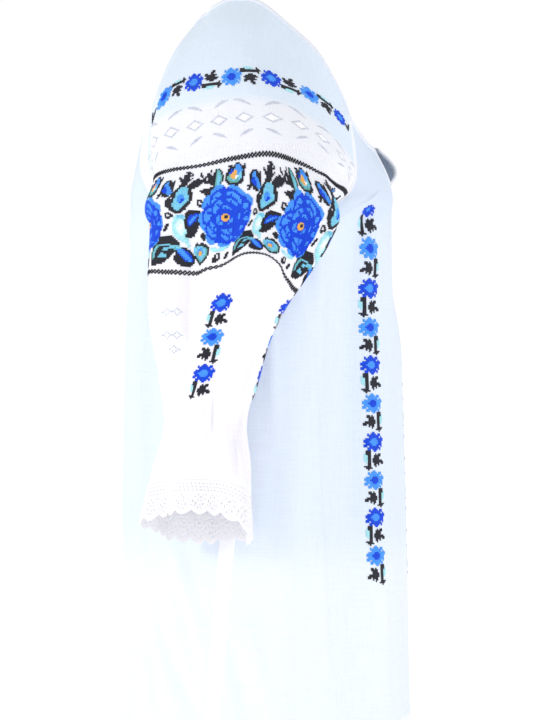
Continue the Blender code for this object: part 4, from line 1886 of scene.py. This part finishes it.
@dataclass
class SideSeam:
    """A felled side seam: both allowances folded to the back and sewn down flat."""

    side: str
    material: bpy.types.Material
    # Across the seam: millimetres from it, back first, and height over the cloth
    section: tuple = (
        (-12.4, 0.0), (-11.9, 0.4), (-10.8, 0.6), (-6.0, 0.6), (-1.2, 0.6), (0.0, 0.6),
        (1.2, 0.6), (4.2, 0.6), (5.2, 0.4), (5.7, 0.0),
    )
    thickness: float = 0.45
    # Both panels' places are blended this near the seam, in millimetres
    blended: float = 1.5
    rows: int = 100

    def points(self, level: Grid, offset_mm: float, height: float) -> Grid:
        """Gives one line of the strip's points, beside the seam."""
        sign = -1.0 if self.side == "right" else 1.0
        cloth = BACK if offset_mm < 0 else FRONTS[int(sign)]
        return cloth.points(level, sign * (1 - abs(offset_mm) / BODY_HALF_ROUND), height)

    def build(self) -> bpy.types.Object:
        """Makes the seam's strip."""
        level = np.linspace(1.01, 1.999, self.rows)
        lines = []
        for offset_mm, height in self.section:
            line = self.points(level, offset_mm, height)
            if abs(offset_mm) < self.blended:
                other = self.points(level, -offset_mm - 0.01, height)
                share = 0.5 - 0.5 * abs(offset_mm) / self.blended
                line = line * (1 - share) + other * share
            lines.append(line)
        grid = np.stack(lines, 1)
        across = np.array([offset_mm for offset_mm, _ in self.section])
        uv = np.stack(np.broadcast_arrays(across[None, :], level[:, None] * BODY_LEVEL), -1)
        ones = np.ones(grid.shape[:2])
        mesh = ClothMesh()
        mesh.add(grid, uv, ones, ones, self.side == "left")
        piece = mesh.build(f"side_seam_{self.side}", self.thickness, self.material)
        finish_piece(piece)
        return piece


@dataclass
class LaceEdge:
    """A scalloped lace round one cuff, in a counted repeat of thread and holes."""

    side: str
    material: bpy.types.Material
    scallops: int = 22
    repeat: int = 16
    rows: int = 31
    scallop_depth: float = 4.0
    overlap: float = 1.5
    thickness: float = 0.6
    # The fan of each scallop starts at this row. Its rings of holes, in cells: inner and outer
    # radius, turns of the pattern by angle, and how much of it is thread
    fan_row: int = 13
    rings: tuple = (
        (2.0, 3.1, 2.0, 0.50), (5.2, 6.3, 4.5, 0.42), (8.6, 9.8, 7.5, 0.42), (11.8, 12.9, 10.5, 0.45),
    )

    def solid(self, column: int, row: int) -> bool:
        """Tells whether a cell is thread: a heading, a net of pinholes, a fan a scallop."""
        across = column % self.repeat
        middle = self.repeat / 2 - 0.5
        if row == 3:
            return across % 4 != 1
        if row in (6, 9):
            return (across + row) % 4 != 0
        if row < self.fan_row - 1:
            return True
        radius = math.hypot(across - middle, 1.05 * (row - self.fan_row))
        angle = math.atan2(row - self.fan_row, across - middle)
        for inner, outer, turns, thread in self.rings:
            if inner <= radius < outer:
                return abs(math.sin(turns * angle)) > thread
        return True

    def edge(self, around: Grid) -> Grid:
        """Gives the lace's lower edge, with its scallops."""
        wave = np.abs(np.sin((around + 1) / 2 * self.scallops * math.pi))
        return LACE_END - self.scallop_depth * (1 - wave)

    def build(self) -> bpy.types.Object:
        """Makes the lace."""
        cloth = SLEEVES[self.side]
        columns = self.scallops * self.repeat
        around = np.linspace(-1, 1, columns + 1)[None, :]
        share = np.linspace(0, 1, self.rows + 1)[:, None]
        top = CLOTH_END - self.overlap
        straight = top + share * (LACE_END - top)
        bend = ease((share - 0.75) / 0.25)
        down = straight - bend * (LACE_END - self.edge(around))
        grid = cloth.points(down, around + 0 * down, 0.35 * ease((CLOTH_END + 1 - down) / 2))
        numbers = np.arange(grid.shape[0] * grid.shape[1]).reshape(grid.shape[:2])
        numbers[:, -1] = numbers[:, 0]
        faces = []
        for row in range(self.rows):
            for column in range(columns):
                if self.solid(column, row):
                    a, b = numbers[row, column], numbers[row + 1, column]
                    c, d = numbers[row + 1, column + 1], numbers[row, column + 1]
                    face = (int(a), int(b), int(c), int(d))
                    faces.append(face[::-1] if self.side == "left" else face)
        piece = make_object(f"lace_edge_{self.side}", grid.reshape(-1, 3), faces, [self.material])
        edit_mesh(piece, remove_loose)
        thicken(piece, self.thickness)
        finish_piece(piece)
        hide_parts(f"lace_{self.side}")
        return piece


@dataclass
class NeckBinding:
    """The narrow strip folded over the neckline and both edges of the slit."""

    material: bpy.types.Material
    depth: float = 4.6
    # Its folded section: depth into the cloth, height over its face
    section: tuple = (
        (1.00, 0.30), (0.96, 0.85), (0.70, 1.15), (0.35, 1.25), (0.02, 1.15), (-0.20, 0.60),
        (-0.26, -0.35), (-0.20, -1.30), (0.02, -1.85), (0.35, -1.95), (0.70, -1.85),
        (0.96, -1.55), (1.00, -1.00),
    )
    # Points along the slit, half the front, a sleeve and the back
    slit_points: int = 16
    front_points: int = 24
    sleeve_points: int = 60
    back_points: int = 44
    # Rounds of smoothing over the corners where two panels meet
    smoothing: int = 2

    def stretch(
        self, cloth: Cloth, u: Grid, v: Grid, into: tuple[float, float]
    ) -> tuple[Grid, Grid, Grid]:
        """Gives edge points, directions into the cloth and normals along one edge.

        Args:
            cloth: The cloth.
            u: Places along the cloth.
            v: Places across the cloth.
            into: Which way the cloth lies from its edge, in u and v.

        Returns:
            Points in millimetres, and two unit vectors for each.
        """
        scale = (4.0, 0.02) if cloth.form is sleeve_form else (0.02, 0.02)
        du, dv = into[0] * scale[0], into[1] * scale[1]
        edge = cloth.points(u, v) / MM
        inner = cloth.points(u + du, v + dv) / MM
        raised = cloth.points(np.maximum(u, 1e-3), v, 1.0) / MM
        flat = cloth.points(np.maximum(u, 1e-3), v) / MM
        return edge, unit(inner - edge), unit(raised - flat)

    def path(self) -> tuple[Grid, Grid, Grid]:
        """Gives the binding's whole way, from the slit's end round and back to it."""
        slit = np.linspace(SLIT_END, 0.012, self.slit_points)
        half = np.linspace(0, 1, self.front_points)[1:-1]
        sleeve = np.linspace(1, -1, self.sleeve_points)
        back = np.linspace(-1, 1, self.back_points)[1:-1]
        stretches = [
            self.stretch(FRONTS[-1], slit, 0 * slit, (0, -1)),
            self.stretch(FRONTS[-1], 0 * half, -half, (1, 0)),
            self.stretch(SLEEVES["right"], 0 * sleeve, sleeve, (1, 0)),
            self.stretch(BACK, 0 * back, back, (1, 0)),
            self.stretch(SLEEVES["left"], 0 * sleeve, -sleeve, (1, 0)),
            self.stretch(FRONTS[1], 0 * half, half[::-1], (1, 0)),
            self.stretch(FRONTS[1], slit[::-1], 0 * slit, (0, 1)),
        ]
        return tuple(np.concatenate(parts) for parts in zip(*stretches))

    def build(self) -> bpy.types.Object:
        """Makes the binding as one closed strip."""
        edge, into, normal = self.path()
        for _ in range(self.smoothing):
            for vectors in (into, normal):
                vectors[1:-1] = unit(vectors[:-2] + 2 * vectors[1:-1] + vectors[2:])
        rings = np.stack([edge + d * self.depth * into + h * normal for d, h in self.section], 1)
        count, corners = rings.shape[:2]
        faces = []
        for ring in range(count - 1):
            for corner in range(corners):
                following = (corner + 1) % corners
                a, b = ring * corners, (ring + 1) * corners
                faces.append((a + corner, b + corner, b + following, a + following))
        faces.append(tuple(range(corners)))
        faces.append(tuple((count - 1) * corners + corner for corner in reversed(range(corners))))
        piece = make_object("binding", rings.reshape(-1, 3) * MM, faces, [self.material])
        edit_mesh(piece, lambda work: bmesh.ops.recalc_face_normals(work, faces=work.faces))
        finish_piece(piece)
        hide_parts("neck_binding")
        return piece


@dataclass
class Studio:
    """Floor, light and the camera of the photograph's view."""

    turn_degrees: float = 12.0
    distance: float = 3.0
    target: tuple = (-0.0020, 0.0093, -0.334)
    frame_height: float = 0.684
    floor_height: float = -0.70
    # How steep a direction is where the tent's light starts to dim and where it is dimmest, and
    # its light there: white near the horizon, softer above and below
    tent_slopes: tuple = (0.12, 0.45)
    tent_light: tuple = (1.02, 0.62)
    # Each lamp: name, place and size in metres, watts
    lamps: tuple = (("key", (-1.7, 2.0, 0.5), 0.5, 17.0), ("front", (-1.2, -2.2, 0.9), 1.2, 13.0))

    def floor(self) -> None:
        """Makes the pale floor just under the hem."""
        bpy.ops.object.select_all(action="DESELECT")
        bpy.ops.mesh.primitive_plane_add(size=40, location=(0, 0, self.floor_height))
        floor = bpy.context.object
        floor.name = "studio_floor"
        floor.data.materials.append(StudioFloor().material())
        floor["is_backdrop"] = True

    def lights(self) -> None:
        """Sets plain soft light from all round, a key from behind and a weak fill from the front."""
        world = bpy.data.worlds.new("studio")
        bpy.context.scene.world = world
        world.use_nodes = True
        tree = world.node_tree
        background = tree.nodes["Background"]
        background.inputs["Strength"].default_value = 1.0
        way = node(tree, "ShaderNodeTexCoord").outputs["Generated"]
        height = node(tree, "ShaderNodeSeparateXYZ", {0: way}).outputs["Z"]
        steep = node(tree, "ShaderNodeMath", {0: height}, operation="ABSOLUTE").outputs[0]
        level = spread(tree, steep, self.tent_slopes, self.tent_light)
        tree.links.new(level, background.inputs["Color"])
        for name, place, size, power in self.lamps:
            light = bpy.data.lights.new(name, "AREA")
            light.size = size
            light.energy = power
            lamp = bpy.data.objects.new(name, light)
            lamp.location = place
            aim = np.array(self.target) - np.array(place)
            lamp.rotation_euler = look_along(aim)
            bpy.context.scene.collection.objects.link(lamp)

    def camera(self) -> None:
        """Puts the camera level, a little in front of the blouse's right side."""
        turn = math.radians(self.turn_degrees)
        away = np.array([-math.cos(turn), -math.sin(turn), 0.0])
        data = bpy.data.cameras.new("camera")
        camera = bpy.data.objects.new("camera", data)
        camera.location = tuple(np.array(self.target) + self.distance * away)
        camera.rotation_euler = look_along(-away)
        data.sensor_width = 36.0
        data.lens = 36.0 * self.distance / self.frame_height
        bpy.context.scene.collection.objects.link(camera)
        bpy.context.scene.camera = camera

    def build(self) -> None:
        """Sets up the studio."""
        bpy.context.scene.view_settings.view_transform = "Standard"
        self.floor()
        self.lights()
        self.camera()


def look_along(direction: Grid) -> tuple[float, float, float]:
    """Gives the turn of a camera or lamp that looks along a direction."""
    x, y, z = direction
    return (math.atan2(math.hypot(x, y), -z), 0.0, math.atan2(y, x) - math.pi / 2)


def main() -> None:
    """Builds the blouse's pieces in order, and logs each one's triangles."""
    logging.basicConfig(level=logging.INFO, format="%(message)s")
    Studio().build()
    body_cloth = PlainWeave("sheer_plain_weave_body", "#DEEAFB", "#F1F8FE", "#FBFCFF").material()
    sleeve_cloth = PlainWeave("sheer_plain_weave_sleeve", "#E3EFFD", "#F8F6FC", "#FAFBFF").material()
    tape = CottonLace("bleached_cotton_tape", "#EEF2FB", 0.7).material()
    lace_thread = CottonLace("bleached_cotton_lace", "#FAF9FD").material()
    cottons = thread_materials()
    body = BodyCloth(body_cloth)
    front, back = body.front(), body.back()
    binding = NeckBinding(tape).build()
    flowers = FrontEmbroidery(cottons).build()
    seams = [SideSeam(side, body_cloth).build() for side in ("right", "left")]
    for side in ("right", "left"):
        sleeve = SleeveCloth(side, sleeve_cloth).build()
        embroidery = SleeveEmbroidery(side, cottons).build()
        openwork = Openwork(side, cottons).build()
        lace = LaceEdge(side, lace_thread).build()
    [[list(map(float, corner)) for corner in box] for box in (CAD_BOX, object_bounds())]


if __name__ == "__main__":
    main()
